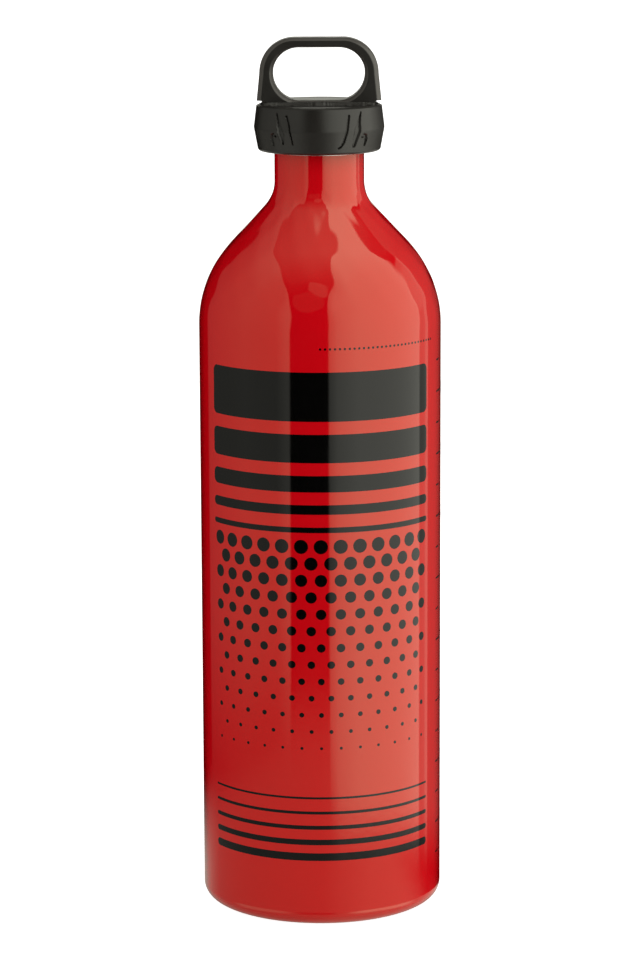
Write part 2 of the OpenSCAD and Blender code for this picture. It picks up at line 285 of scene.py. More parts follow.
class PrintLayout(PropertyGroup):
    """Places and sizes of the plain printed pattern and of the fill scale."""
    reach: FloatProperty(
        name="Reach", description="How far the front pattern goes round to each side",
        default=math.radians(60), subtype="ANGLE")
    band_top: FloatProperty(
        name="Bands top", description="Height of the upper edge of the top band",
        default=185 * MM, unit="LENGTH")
    band: FloatProperty(
        name="Band height", description="Height of the top band; each one below is narrower",
        default=16 * MM, unit="LENGTH")
    band_shrink: FloatProperty(
        name="Band shrink", description="Height of each band as a share of the one above", default=0.58)
    band_gap: FloatProperty(
        name="Band gap", description="Bare red between two bands",
        default=4.2 * MM, unit="LENGTH")
    bands: IntProperty(name="Bands", description="Number of bands", default=5)
    dot_pitch: FloatProperty(
        name="Dot pitch", description="Distance between two rows of dots",
        default=5.6 * MM, unit="LENGTH")
    dot_rows: IntProperty(name="Dot rows", description="Number of rows of dots", default=13)
    dot_top: FloatProperty(
        name="Dots top", description="Height of the top row of dots",
        default=128 * MM, unit="LENGTH")
    dot_large: FloatProperty(
        name="Largest dot", description="Radius of the dots in the top row",
        default=2.35 * MM, unit="LENGTH", precision=4)
    dot_small: FloatProperty(
        name="Smallest dot", description="Radius of the dots in the last row",
        default=0.5 * MM, unit="LENGTH", precision=4)
    line_low: FloatProperty(
        name="Lines bottom", description="Height of the lowest pinstripe",
        default=24 * MM, unit="LENGTH")
    line: FloatProperty(
        name="Line", description="Thickness of the lowest pinstripe",
        default=2.6 * MM, unit="LENGTH", precision=4)
    lines: IntProperty(name="Lines", description="Number of pinstripes", default=5)
    fill_height: FloatProperty(
        name="Fill line", description="Height of the dotted fill line",
        default=192.5 * MM, unit="LENGTH")
    fill_reach: FloatProperty(
        name="Fill line reach", description="How far the fill line goes round to the right",
        default=math.radians(66), subtype="ANGLE")
    scale_zero: FloatProperty(
        name="Scale zero", description="Height on the scale at which the bottle holds nothing",
        default=6.9 * MM, unit="LENGTH")
    scale_step: FloatProperty(
        name="Scale step", description="Rise of the fuel for each 100 millilitres",
        default=20.93 * MM, unit="LENGTH", precision=5)
    scale_marks: IntProperty(name="Scale marks", description="Number of numbered marks", default=8)
    digit: FloatProperty(
        name="Digit height", description="Height of the scale's numbers",
        default=4.2 * MM, unit="LENGTH", precision=4)


class Finishes(PropertyGroup):
    """Colours of the materials."""
    lacquer: FloatVectorProperty(
        name="Lacquer", description="Colour of the red lacquer",
        default=(0.63, 0.0017, 0.0066), subtype="COLOR", min=0, max=1)
    ink: FloatVectorProperty(
        name="Ink", description="Colour of the printed ink",
        default=(0.0016, 0.0015, 0.0014), subtype="COLOR", min=0, max=1)
    plastic: FloatVectorProperty(
        name="Cap plastic", description="Colour of the black plastic of the cap",
        default=(0.0118, 0.0103, 0.0084), subtype="COLOR", min=0, max=1)
    # Painted highlight: a paler plastic colour for the bevels of the loop, standing in for the highlights on them
    edge: FloatVectorProperty(
        name="Rubbed edges", description="Colour of the cap's plastic on the rubbed bevels of the loop",
        default=(0.052, 0.047, 0.041), subtype="COLOR", min=0, max=1)
    rubber: FloatVectorProperty(
        name="Seal rubber", description="Colour of the rubber of the seal ring",
        default=(0.018, 0.018, 0.019), subtype="COLOR", min=0, max=1)
    aluminium: FloatVectorProperty(
        name="Bare aluminium", description="Colour of the bare neck and inside",
        default=(0.80, 0.80, 0.79), subtype="COLOR", min=0, max=1)
    steel: FloatVectorProperty(
        name="Spring steel", description="Colour of the spring's wire",
        default=(0.56, 0.56, 0.55), subtype="COLOR", min=0, max=1)
    floor: FloatVectorProperty(
        name="Floor", description="Colour of the studio floor",
        default=(0.85, 0.85, 0.85), subtype="COLOR", min=0, max=1)


class Studio(PropertyGroup):
    """Place of the camera and strength of the studio's soft boxes."""
    camera_side: FloatProperty(
        name="Camera side", description="How far the camera stands to the right of the bottle",
        default=-0.185 * MM, unit="LENGTH", precision=5)
    camera_back: FloatProperty(
        name="Camera distance", description="How far the camera stands in front of the bottle",
        default=1150.49 * MM, unit="LENGTH", precision=5)
    camera_height: FloatProperty(
        name="Camera height", description="Height of the camera above the floor",
        default=361.395 * MM, unit="LENGTH", precision=5)
    camera_tilt: FloatProperty(
        name="Camera tilt", description="How far the camera looks down",
        default=0.188038, subtype="ANGLE", precision=4)
    camera_roll: FloatProperty(
        name="Camera roll", description="How far the camera is turned about its own line of sight",
        default=-0.003977, subtype="ANGLE", precision=4)
    lens: FloatProperty(
        name="Lens", description="Focal length in millimetres for a 36 mm frame", default=131.79)
    left_box: FloatProperty(
        name="Left soft box", description="Brightness of the left soft box", default=0.44)
    right_box: FloatProperty(
        name="Right soft box", description="Brightness of the right soft box", default=1.42)
    ceiling: FloatProperty(
        name="Ceiling", description="Brightness of the ceiling in reflections", default=0.45)
    table_glow: FloatProperty(
        name="Table", description="Brightness of the table in reflections", default=0.52)
    fill: FloatProperty(
        name="Fill light", description="Brightness of the even light that matt surfaces gather", default=0.43)
    fill_sides: FloatProperty(
        name="Fill from the sides", description="How much the even light grows toward both sides",
        default=1.25)
    fill_lean: FloatProperty(
        name="Fill lean", description="How much the even light grows toward the right", default=0.42)
    lamp: FloatProperty(
        name="Lamp", description="Power of the soft lamp over the camera, in watts", default=1.5)
    floor_glow: FloatProperty(
        name="Floor glow", description="Light added to the floor, so that it reads as white", default=0.9)


GROUPS = {
    "fuel_bottle_shape": BottleShape,
    "fuel_bottle_thread": ThreadShape,
    "fuel_bottle_plug": PlugShape,
    "fuel_bottle_cap": CapShape,
    "fuel_bottle_print": PrintLayout,
    "fuel_bottle_finishes": Finishes,
    "fuel_bottle_studio": Studio,
}


# Flat curves

def arc(centre_x, centre_y, radius, start, end, count=24):
    """Points of an arc: centre + radius (cos a, sin a), for angles a in degrees from start to end."""
    a = np.radians(np.linspace(start, end, count))
    return np.column_stack((centre_x + radius * np.cos(a), centre_y + radius * np.sin(a)))


def path(*parts):
    """One polyline through all the parts, without the points that repeat the one before."""
    points = np.vstack(parts)
    step = np.linalg.norm(np.diff(points, axis=0), axis=1)
    return points[np.concatenate(([True], step > 1e-7))]


def divided(points, longest):
    """The polyline with each stretch P to Q cut into equal parts, at P + t (Q - P), none over the given length."""
    stretch = np.diff(points, axis=0)
    parts = np.ceil(np.linalg.norm(stretch, axis=1) / longest - 1e-6).astype(int).clip(1)
    which = np.repeat(np.arange(len(parts)), parts)
    t = (np.arange(parts.sum()) - (np.cumsum(parts) - parts)[which]) / parts[which]
    return np.vstack((points[which] + t[:, None] * stretch[which], points[-1:]))


def rounded(points, cut, count=5):
    """The open polyline with each inner corner B cut back by a length, to A and C, and joined by the curve
    (1 - t)^2 A + 2 t (1 - t) B + t^2 C."""
    points = np.asarray(points, float)
    t = np.linspace(0, 1, count)[:, None]
    out = [points[:1]]
    for before, corner, after in zip(points[:-2], points[1:-1], points[2:]):
        a = corner + (before - corner) * min(0.5, cut / np.linalg.norm(before - corner))
        c = corner + (after - corner) * min(0.5, cut / np.linalg.norm(after - corner))
        out.append((1 - t) ** 2 * a + 2 * t * (1 - t) * corner + t ** 2 * c)
    out.append(points[-1:])
    return path(*out)


def reach_at(outline, centre, angles):
    """The closed outline, seen from a centre, as a distance for each polar angle: its points, turned into
    polar angle and distance, are read off by linear interpolation."""
    closed = divided(np.vstack((outline, outline[:1])), 0.1 * MM)[:-1]
    away = closed - centre
    angle = np.arctan2(away[:, 1], away[:, 0])
    order = np.argsort(angle)
    distance = np.linalg.norm(away, axis=1)
    return np.interp(angles, angle[order], distance[order], period=2 * math.pi)


# Surfaces from grids of points

def skin(rings, ends):
    """Faces over a grid of points: row k is joined to row k + 1, and each row is closed on itself. At the ends,
    "loop" joins the last row to the first, "caps" fills both rows with triangles, and "poles" closes them
    on the first point of each, which stands for the whole row. Returns points, quads and triangles."""
    rows, columns = rings.shape[:2]
    row = np.arange(rows)[:, None] * columns
    here = np.arange(columns)[None, :]
    there = (here + 1) % columns
    after = np.roll(row, -1, axis=0)
    quads = np.stack((row + here, row + there, after + there, after + here), axis=-1)
    if ends == "loop":
        return rings.reshape(-1, 3), quads.reshape(-1, 4), np.zeros((0, 3), int)
    if ends == "caps":
        i = np.arange(1, columns - 1)
        last = (rows - 1) * columns
        low = np.column_stack((np.zeros_like(i), i + 1, i))
        high = np.column_stack((np.zeros_like(i), i, i + 1)) + last
        return rings.reshape(-1, 3), quads[:-1].reshape(-1, 4), np.vstack((low, high))
    body = quads[1:-2].reshape(-1, 4) - columns + 1
    low = np.stack((np.zeros_like(here), row[1] + there, row[1] + here), axis=-1).reshape(-1, 3)
    low[:, 1:] += 1 - columns
    top = (rows - 2) * columns + 1
    high = np.stack((row[-2] + here, row[-2] + there, np.full_like(here, top)), axis=-1).reshape(-1, 3)
    high[:, :2] += 1 - columns
    points = np.vstack((rings[0, :1], rings[1:-1].reshape(-1, 3), rings[-1, :1]))
    return points, body, np.vstack((low, high))


def turned(radius, height, segments, shift=None):
    """Grid of a surface of revolution: (r cos a, r sin a, z), with r and z from the profile's row and the
    angle a from the column. A shift of angle and height, in metres, is added to the radius."""
    angle = np.arange(segments) * (2 * math.pi / segments)
    angle, height = np.broadcast_arrays(angle[None, :], height[:, None])
    radius = np.broadcast_to(radius[:, None], angle.shape)
    if shift is not None:
        radius = radius + shift(angle, height)
    return np.stack((radius * np.cos(angle), radius * np.sin(angle), height), axis=-1)


def join(shapes):
    """Several shapes as one: their points in a row, with each one's faces counted on from the points before."""
    first = np.cumsum([0] + [len(s[0]) for s in shapes[:-1]])
    points = np.vstack([s[0] for s in shapes])
    quads = np.vstack([s[1] + f for s, f in zip(shapes, first)])
    triangles = np.vstack([s[2] + f for s, f in zip(shapes, first)])
    return points, quads, triangles


def ring_block(inner, outer, low, high, middle, width, steps=8):
    """A block of a ring: r from inner to outer, z from low to high, and the angle from middle - width / 2 to
    middle + width / 2, as a four-cornered section carried along that arc."""
    section = np.array([(outer, high), (outer, low), (inner, low), (inner, high)])
    angle = np.linspace(middle - width / 2, middle + width / 2, steps)[:, None]
    rings = np.stack((section[:, 0] * np.cos(angle), section[:, 0] * np.sin(angle),
                      section[:, 1] + 0 * angle), axis=-1)
    return skin(rings, "caps")


def dog_ring(plug, low, high, turn):
    """A ring of drive dogs: one block for each pitch of 360 / n degrees, turned by a share of the pitch."""
    pitch = 2 * math.pi / plug.dogs
    outer = PLUG_HIGH.x - plug.dog_rim
    return join([ring_block(outer - plug.dog_width, outer, low, high, (i + turn) * pitch, pitch * plug.dog_fill)
                 for i in range(plug.dogs)])


def volume(points, quads, triangles):
    """Volume inside a closed mesh: the sum of a . (b x c) / 6 over its triangles."""
    corners = points[np.vstack((quads[:, :3], quads[:, [0, 2, 3]], triangles))]
    return np.einsum("ij,ij->i", corners[:, 0], np.cross(corners[:, 1], corners[:, 2])).sum() / 6


def make_piece(name, shape, materials, body, stands_for=(), crease=35, finish_of=None):
    """Puts a shape into a new mesh object at the origin, gives it its materials and tells the frame what it
    is. An array finish_of gives each face, quads first, the number of its material."""
    points, quads, triangles = shape
    if volume(*shape) <= 0:
        raise ValueError(f"the faces of {name} point inwards")
    mesh = bpy.data.meshes.new(name)
    mesh.vertices.add(len(points))
    mesh.vertices.foreach_set("co", points.astype(np.float32).ravel())
    mesh.loops.add(quads.size + triangles.size)
    mesh.loops.foreach_set("vertex_index", np.concatenate((quads.ravel(), triangles.ravel())).astype(np.int32))
    mesh.polygons.add(len(quads) + len(triangles))
    starts = np.concatenate((np.arange(len(quads)) * 4, quads.size + np.arange(len(triangles)) * 3))
    mesh.polygons.foreach_set("loop_start", starts.astype(np.int32))
    for material in materials:
        mesh.materials.append(material)
    if finish_of is not None:
        mesh.polygons.foreach_set("material_index", finish_of.astype(np.int32))
    mesh.update(calc_edges=True)
    if mesh.validate():
        raise ValueError(f"the mesh of {name} is not valid")
    mesh.shade_smooth()
    mesh.set_sharp_from_angle(angle=math.radians(crease))
    piece = bpy.data.objects.new(name, mesh)
    bpy.context.scene.collection.objects.link(piece)
    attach(piece, body)
    if stands_for:
        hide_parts(*stands_for)
    return piece


# Shifts of a radius

def ridge_height(angle, height, start, turns, thread):
    """Height of a thread's ridge, from 0 to its depth. At each angle the nearest turn s has its middle at
    start + pitch s; the ridge is flat within its tip's half width and slopes to 0 at its root's half width.
    Over the first and last part of a turn it grows from 0."""
    turn = angle / (2 * math.pi)
    s = turn + np.round((height - start) / thread.pitch - turn)
    off = np.abs(height - start - thread.pitch * s)
    section = np.clip((thread.root / 2 - off) / (thread.root / 2 - thread.tip / 2), 0, 1)
    grown = np.clip(np.minimum(s, turns - s) / thread.fade, 0, 1)
    return thread.depth * section * grown


def smooth_step(low, high, value):
    """0 below low, 1 above high, and 3 t^2 - 2 t^3 between, with t the way from low to high."""
    t = np.clip((value - low) / (high - low), 0, 1)
    return t * t * (3 - 2 * t)


def ripples(angle, height, low, high):
    """Faint ripples from 0 to 1: three slanted waves with whole numbers of crests round the bottle, added,
    halved and faded in and out along the height."""
    waves = (np.sin(23 * angle + height / (2.3 * MM)) + np.sin(17 * angle - height / (1.9 * MM) + 1)
             + np.sin(11 * angle - height / (3.7 * MM) + 2))
    fade = smooth_step(low, low + 16 * MM, height) * (1 - smooth_step(high - 8 * MM, high, height))
    return (0.5 + waves / 6) * fade


def stroke(along, height, route, widths):
    """Depth from 0 to 1 of a groove that follows a route: for each stretch the distance to its nearest
    point, over the half width there, gives 1 - step, and the deepest stretch counts."""
    deepest = np.zeros(np.broadcast(along, height).shape)
    for (x0, z0), (x1, z1), w0, w1 in zip(route[:-1], route[1:], widths[:-1], widths[1:]):
        length = (x1 - x0) ** 2 + (z1 - z0) ** 2
        t = np.clip(((along - x0) * (x1 - x0) + (height - z0) * (z1 - z0)) / length, 0, 1)
        off = np.hypot(along - x0 - t * (x1 - x0), height - z0 - t * (z1 - z0))
        deepest = np.maximum(deepest, 1 - smooth_step(0.45, 1.0, off / (w0 + t * (w1 - w0))))
    return deepest


# Bottle

def outer_profile(shape):
    """Outside of the bottle from the middle of the dome up to the end of the lacquer, as radius and height:
    an arc for the dome, one for the bottom edge, the wall, the shoulder's arc, the slope, the hollow arc."""
    wall = SHELL_HIGH.x - shape.ink
    foot_out = SHELL_HIGH.x - shape.base_edge
    foot_in = foot_out - shape.foot
    dome_radius = (foot_in ** 2 + shape.dome ** 2) / (2 * shape.dome)
    dome_angle = math.degrees(math.asin(foot_in / dome_radius))
    neck = shape.neck
    slope = math.degrees(shape.slope)
    slope_high = neck + shape.neck_fillet * (1 - math.cos(shape.slope))
    slope_low = wall - shape.shoulder * (1 - math.cos(shape.slope))
    slope_low_z = shape.wall_top + shape.shoulder * math.sin(shape.slope)
    slope_high_z = slope_low_z + (slope_low - slope_high) / math.tan(shape.slope)
    neck_z = slope_high_z + shape.neck_fillet * math.sin(shape.slope)
    lacquer_z = SHELL_HIGH.z - shape.lacquer_top
    edge = shape.base_edge - shape.ink
    parts = (
        divided(arc(0, shape.dome - dome_radius, dome_radius, 90, 90 - dome_angle, 20), 2 * MM),
        rounded([(foot_in - 1.5 * MM, 0.0007), (foot_in, 0), (foot_out, 0)], 0.8 * MM)[-1:],
        arc(foot_out, edge, edge, -90, 0, 18),
        divided(np.array([(wall, shape.base_edge), (wall, shape.wall_top)]), 4 * MM),
        arc(wall - shape.shoulder, shape.wall_top, shape.shoulder, 0, slope, 34),
        divided(np.array([(slope_low, slope_low_z), (slope_high, slope_high_z)]), 0.9 * MM),
        arc(neck + shape.neck_fillet, neck_z, shape.neck_fillet, 180 + slope, 180, 16),
        divided(np.array([(neck, neck_z), (neck, lacquer_z - shape.lacquer)]), 2 * MM),
        [(neck - shape.lacquer, lacquer_z)],
    )
    return path(*parts), neck_z


def inner_profile(shape, thread, neck_z):
    """The rest of the bottle's profile: bare neck, lip, slanted seat, bore, and the inside down to its
    middle, at one wall's thickness from the outside."""
    lip = SHELL_HIGH.z
    bare = shape.neck - shape.lacquer
    bore_low = min(neck_z, thread.neck_start - thread.root / 2)
    neck_wall = shape.neck - shape.bore
    foot_out = SHELL_HIGH.x - shape.base_edge
    foot_in = foot_out - shape.foot
    dome_radius = (foot_in ** 2 + shape.dome ** 2) / (2 * shape.dome)
    dome_angle = math.degrees(math.asin(foot_in / dome_radius))
    slope = math.degrees(shape.slope)
    fillet = shape.neck_fillet
    lip_edge = rounded([(bare, lip - 2 * MM), (bare, lip - shape.lip_edge), (shape.neck - shape.lip_edge, lip),
                        (shape.seat, lip), (shape.bore, lip - shape.seat + shape.bore)], 0.06 * MM, 3)
    parts = (
        divided(np.array([(bare, lip - shape.lacquer_top + shape.lacquer), (bare, lip - 2 * MM)]), MM),
        lip_edge,
        divided(np.array([(shape.bore, lip - shape.seat + shape.bore), (shape.bore, bore_low)]), 0.21 * MM),
        arc(shape.neck + fillet, bore_low, fillet + neck_wall, 180, 180 + slope, 14),
        arc(SHELL_HIGH.x - shape.shoulder, shape.wall_top, shape.shoulder - shape.wall, slope, 0, 14),
        arc(foot_out, shape.base_edge, shape.base_edge - shape.wall, 0, -90, 10),
        arc(0, shape.dome - dome_radius, dome_radius + shape.base, 90 - dome_angle, 90, 14),
    )
    return path(*parts)


class FUELBOTTLE_OT_bottle(Operator):
    """Make the lacquered aluminium bottle with its bare, threaded neck"""
    bl_idname = "fuel_bottle.make_bottle"
    bl_label = "Bottle"

    def execute(self, context):
        shape = context.scene.fuel_bottle_shape
        thread = context.scene.fuel_bottle_thread
        outside, neck_z = outer_profile(shape)
        inside = inner_profile(shape, thread, neck_z)
        rows = np.vstack((outside, inside))
        bore_rows = np.abs(rows[:, 0] - shape.bore) < 0.001 * MM

        def shift(angle, height):
            out = np.zeros(angle.shape)
            n = len(outside)
            out[:n] = -shape.ripple * ripples(angle[:n], height[:n], shape.wall_top, neck_z)
            ridge = ridge_height(angle, height, thread.neck_start, thread.neck_turns, thread)
            out[bore_rows] = -ridge[bore_rows]
            return out

        segments = 256
        rings = turned(rows[:, 0], rows[:, 1], segments, shift)
        solid = skin(rings, "poles")
        finish = np.ones(len(solid[1]) + len(solid[2]))
        finish[:(len(outside) - 2) * segments] = 0
        finish[len(solid[1]):len(solid[1]) + segments] = 0
        make_piece("bottle", solid, [lacquer(context), bare_aluminium(context)], "bottle",
                   ["bottle_shell"], 30, finish)
        return {"FINISHED"}


# Print

def films(shape, spots, columns):
    """Thin films of ink on the wall. Each spot is a rounded rectangle: middle angle, middle height, half
    length a, half height b and corner radius c, in metres along the wall. Column k lies at x = -a cos(pi (k +
    1/2) / n), where the spot's half height is b - c + sqrt(c^2 - (max(0, |x| - a + c))^2), and each column
    is a ring of four points: outside top, outside bottom, inside bottom, inside top."""
    outer = SHELL_HIGH.x
    inner = outer - shape.ink
    t = -np.cos(np.pi * (np.arange(columns) + 0.5) / columns)
    shapes = []
    for angle, height, a, b, c in spots:
        x = a * t
        past = np.maximum(0, np.abs(x) - a + c)
        half = b - c + np.sqrt(np.maximum(c * c - past * past, 0))
        turn = angle - math.pi / 2 + x / outer
        radius = np.array([outer, outer, inner, inner])
        side = np.array([1, -1, -1, 1])
        rings = np.stack((np.cos(turn)[:, None] * radius, np.sin(turn)[:, None] * radius,
                          height + half[:, None] * side), axis=-1)
        shapes.append(skin(rings, "caps"))
    return join(shapes)


def seven_bars(number, angle, height, size):
    """The bars of a plain number, each a rounded rectangle: three lie across, four stand, and a bar is
    there if the number is in its list."""
    bar = 0.075 * size
    reach = 0.25 * size
    lying = {0.5: (2, 3, 5, 6, 7, 8), 0.0: (2, 3, 4, 5, 6, 8), -0.5: (2, 3, 5, 6, 8)}
    standing = {(-1, 1): (4, 5, 6, 8), (1, 1): (1, 2, 3, 4, 7, 8),
                (-1, -1): (2, 6, 8), (1, -1): (1, 3, 4, 5, 6, 7, 8)}
    middle = size / 2 - bar
    spots = [(angle, height + 2 * place * middle, reach, bar, bar)
             for place, numbers in lying.items() if number in numbers]
    spots += [(angle + side * (reach - bar) / SHELL_HIGH.x, height + up * middle / 2, bar, middle / 2 + bar, bar)
              for (side, up), numbers in standing.items() if number in numbers]
    return spots


class FUELBOTTLE_OT_print(Operator):
    """Print the plain bands, dots and lines on the front, the fill line and the fill scale"""
    bl_idname = "fuel_bottle.make_print"
    bl_label = "Print"

    def execute(self, context):
        shape = context.scene.fuel_bottle_shape
        layout = context.scene.fuel_bottle_print
        radius = SHELL_HIGH.x
        ink = printed_ink(context)
        half = layout.reach * radius

        bands = []
        top = layout.band_top
        height = layout.band
        for _ in range(layout.bands):
            bands.append((0, top - height / 2, half, height / 2, min(height / 2, 2 * MM)))
            top -= height + layout.band_gap
            height *= layout.band_shrink
        make_piece("front_bands", films(shape, bands, 96), [ink], "bottle")

        dots = []
        for row in range(layout.dot_rows):
            share = row / (layout.dot_rows - 1)
            size = layout.dot_large + (layout.dot_small - layout.dot_large) * share
            step = layout.dot_pitch * 2 / math.sqrt(3)
            count = int(half / step) - row % 2 * 0.5
            for k in np.arange(-count, count + 0.5):
                dots.append((k * step / radius, layout.dot_top - row * layout.dot_pitch, size, size, size))
        make_piece("front_dots", films(shape, dots, 9), [ink], "bottle")

        lines = [(0, layout.line_low + k * 5 * MM, half, layout.line * 0.72 ** k / 2, layout.line * 0.72 ** k / 2)
                 for k in range(layout.lines)]
        make_piece("front_lines", films(shape, lines, 96), [ink], "bottle")

        dot = 0.4 * MM
        fill = [(a, layout.fill_height, dot, dot, dot)
                for a in np.arange(0, layout.fill_reach, 1.6 * MM / radius)]
        make_piece("fill_line", films(shape, fill, 6), [ink], "bottle")

        scale = []
        for mark in range(1, 2 * layout.scale_marks + 2):
            whole = mark % 2 == 0
            z = layout.scale_zero + mark / 2 * layout.scale_step
            length = 3.2 * MM if whole else 1.8 * MM
            scale.append((math.radians(72) + length / radius, z, length, 0.3 * MM, 0.3 * MM))
            if whole:
                scale += seven_bars(mark // 2, math.radians(86), z, layout.digit)
        make_piece("fill_scale", films(shape, scale, 10), [ink], "bottle")
        return {"FINISHED"}


# Cap

def grip_grooves(cap, angle, height):
    """Depth of the moulded grip grooves. The back is the front turned half round, so the angle from the front,
    positive to the right, is folded into a quarter turn to each side and becomes a length on the ridge; each
    groove is a stroke there."""
    along = ((angle + math.pi) % math.pi - math.pi / 2) * COLLAR_HIGH.x
    up = height - COLLAR_LOW.z
    strokes = (
        (((27.6, 12.6), (24.6, 7.3), (22.3, 4.1), (20.0, 2.7), (17.4, 2.1)), (0.42, 0.55, 0.5, 0.36, 0.2)),
        (((40.6, 13.6), (37.7, 10.4), (35.9, 7.6), (33.2, 2.9)), (0.25, 0.8, 1.5, 0.7)),
        (((41.4, 5.6), (43.4, 6.2), (45.6, 5.8), (46.6, 4.6), (45.6, 2.9)), (0.3, 0.6, 0.85, 0.85, 0.45)),
        (((-30.4, 12.4), (-27.4, 9.5), (-24.4, 3.4)), (0.45, 0.4, 0.2)),
        (((-41.4, 13.2), (-38.4, 9.6), (-36.0, 6.6), (-34.4, 3.6)), (0.3, 0.8, 1.5, 0.4)),
        (((-46.2, 3.2), (-47.4, 4.8), (-46.4, 6.0), (-44.2, 6.5), (-42.0, 5.8)), (0.55, 0.85, 0.7, 0.55, 0.3)),
    )
    depth = np.zeros(along.shape)
    for route, widths in strokes:
        places = [(math.radians(a) * COLLAR_HIGH.x, z * MM) for a, z in route]
        depth = np.maximum(depth, stroke(along, up, places, [w * MM for w in widths]))
    return depth * cap.groove_depth


class FUELBOTTLE_OT_collar(Operator):
    """Make the collar of the cap with its ridge and moulded grip grooves"""
    bl_idname = "fuel_bottle.make_collar"
    bl_label = "Collar"

    def execute(self, context):
        cap = context.scene.fuel_bottle_cap
        low = COLLAR_LOW.z
        high = COLLAR_HIGH.z
        ridge = COLLAR_HIGH.x
        ridge_z = low + cap.ridge_height
        rebate = cap.top - cap.rim
        under = high + cap.lid_height - cap.lid_thick
        bead = low + cap.bead_low
        bead_top = bead + cap.bead_height
        edge = arc(cap.bottom - cap.bottom_edge, low + cap.bottom_edge, cap.bottom_edge, -90, 0, 9)
        outside = path(edge[:-1], divided(rounded([edge[-1], (ridge, ridge_z), (cap.top, high - cap.top_edge)],
                                                  0.5 * MM, 7), 0.19 * MM),
                       rounded([(cap.top, high - cap.top_edge), (rebate + 1.3 * cap.gap, high),
                                (rebate + cap.gap, high)], 0.15 * MM))
        inside = divided(np.array([
            (rebate + cap.gap, high), (rebate, high - 1.5 * cap.gap), (rebate, under), (cap.bore, under), (cap.bore, bead_top), (cap.bead, bead_top),
            (cap.bead, bead), (cap.bore - 0.3 * MM, low), (edge[0, 0], low)]), 2 * MM)
        rows = path(outside, inside)[:-1]
        grooved = np.arange(len(rows)) < len(outside) - 4

        def shift(angle, height):
            return -grip_grooves(cap, angle, height) * grooved[:, None]

        rings = turned(rows[:, 0], rows[:, 1], 660, shift)
        make_piece("collar", skin(rings, "loop"), [cap_plastic(context)], "cap",
                   ["grip_collar"], 40)
        return {"FINISHED"}


def loop_ring(cap):
    """The carrying loop as one closed ring. The columns are polar angles about the middle of the opening. The
    rows go round the section: each lies on an outline of the loop drawn in by an inset, or of the opening
    widened by a spread, at its own depth from front to back."""
    top = HANDLE_HIGH.z
    lid_z = COLLAR_HIGH.z + cap.lid_height
    foot_z = COLLAR_HIGH.z + cap.foot_gap
    foot_x = HANDLE_HIGH.x
    open_x = cap.loop - cap.limb
    open_top = top - cap.bar
    open_low = lid_z + cap.sill
    corner = min(cap.loop_corner - cap.bar, (open_top - open_low) / 2)
    foot_corner = min(corner + 0.6 * MM, (open_top - open_low) / 2)
    centre = np.array([0, (open_top + open_low) / 2])
    web_x = cap.lid - cap.web_in
    web_z = lid_z - 1.2 * MM

    def outer(inset):
        x = cap.loop - cap.loop_corner
        z = top - cap.loop_corner
        r = cap.loop_corner - inset
        upper = np.vstack((arc(x, 0, r, 0, 90, 40), arc(-x, 0, r, 90, 180, 40)))
        upper[:, 1] *= (cap.loop_corner - 0.65 * inset) / r
        side = web_x - 0.05 * inset
        low = web_z + 0.05 * inset
        return path([(foot_x - inset, foot_z)], upper + [0, z],
                    [(inset - foot_x, foot_z), (-side, foot_z), (-side, low), (side, low), (side, foot_z)])

    def inner(spread):
        x = open_x - corner
        foot = open_x - foot_corner
        upper = np.vstack((arc(x, 0, corner + spread, 0, 90, 40), arc(-x, 0, corner + spread, 90, 180, 40)))
        upper[:, 1] *= (corner + 0.4 * spread) / (corner + spread)
        return path(upper + [0, open_top - corner],
                    arc(-foot, open_low + foot_corner, foot_corner + spread, 180, 270, 40),
                    arc(foot, open_low + foot_corner, foot_corner + spread, 270, 360, 40))

    corners = outer(0)[[0, -5, -4, -3, -2, -1]] - centre
    angles = np.unique(np.concatenate((np.linspace(-math.pi, math.pi, 420, endpoint=False),
                                       np.arctan2(corners[:, 1], corners[:, 0]))))
    half = cap.loop_depth / 2
    wide = cap.outer_bevel
    small = cap.inner_bevel
    outer_edge = rounded([(0, 0), (0, half - wide), (wide, half), (wide + 0.3 * MM, half)], 0.45 * MM)
    inner_edge = rounded([(small + 0.3 * MM, half), (small, half), (0, half - small), (0, 0)], 0.3 * MM)
    front = [(outer, s, -y) for s, y in outer_edge] + [(inner, s, -y) for s, y in inner_edge[:-1]]
    back = [(inner, s, y) for s, y in inner_edge[::-1]] + [(outer, s, y) for s, y in outer_edge[:0:-1]]
    rings = []
    for outline, offset, y in front + back:
        away = reach_at(outline(offset), centre, angles)
        rings.append(np.column_stack((away * np.cos(angles), np.full(len(angles), y),
                                      centre[1] + away * np.sin(angles))))
    return skin(np.array(rings), "loop")


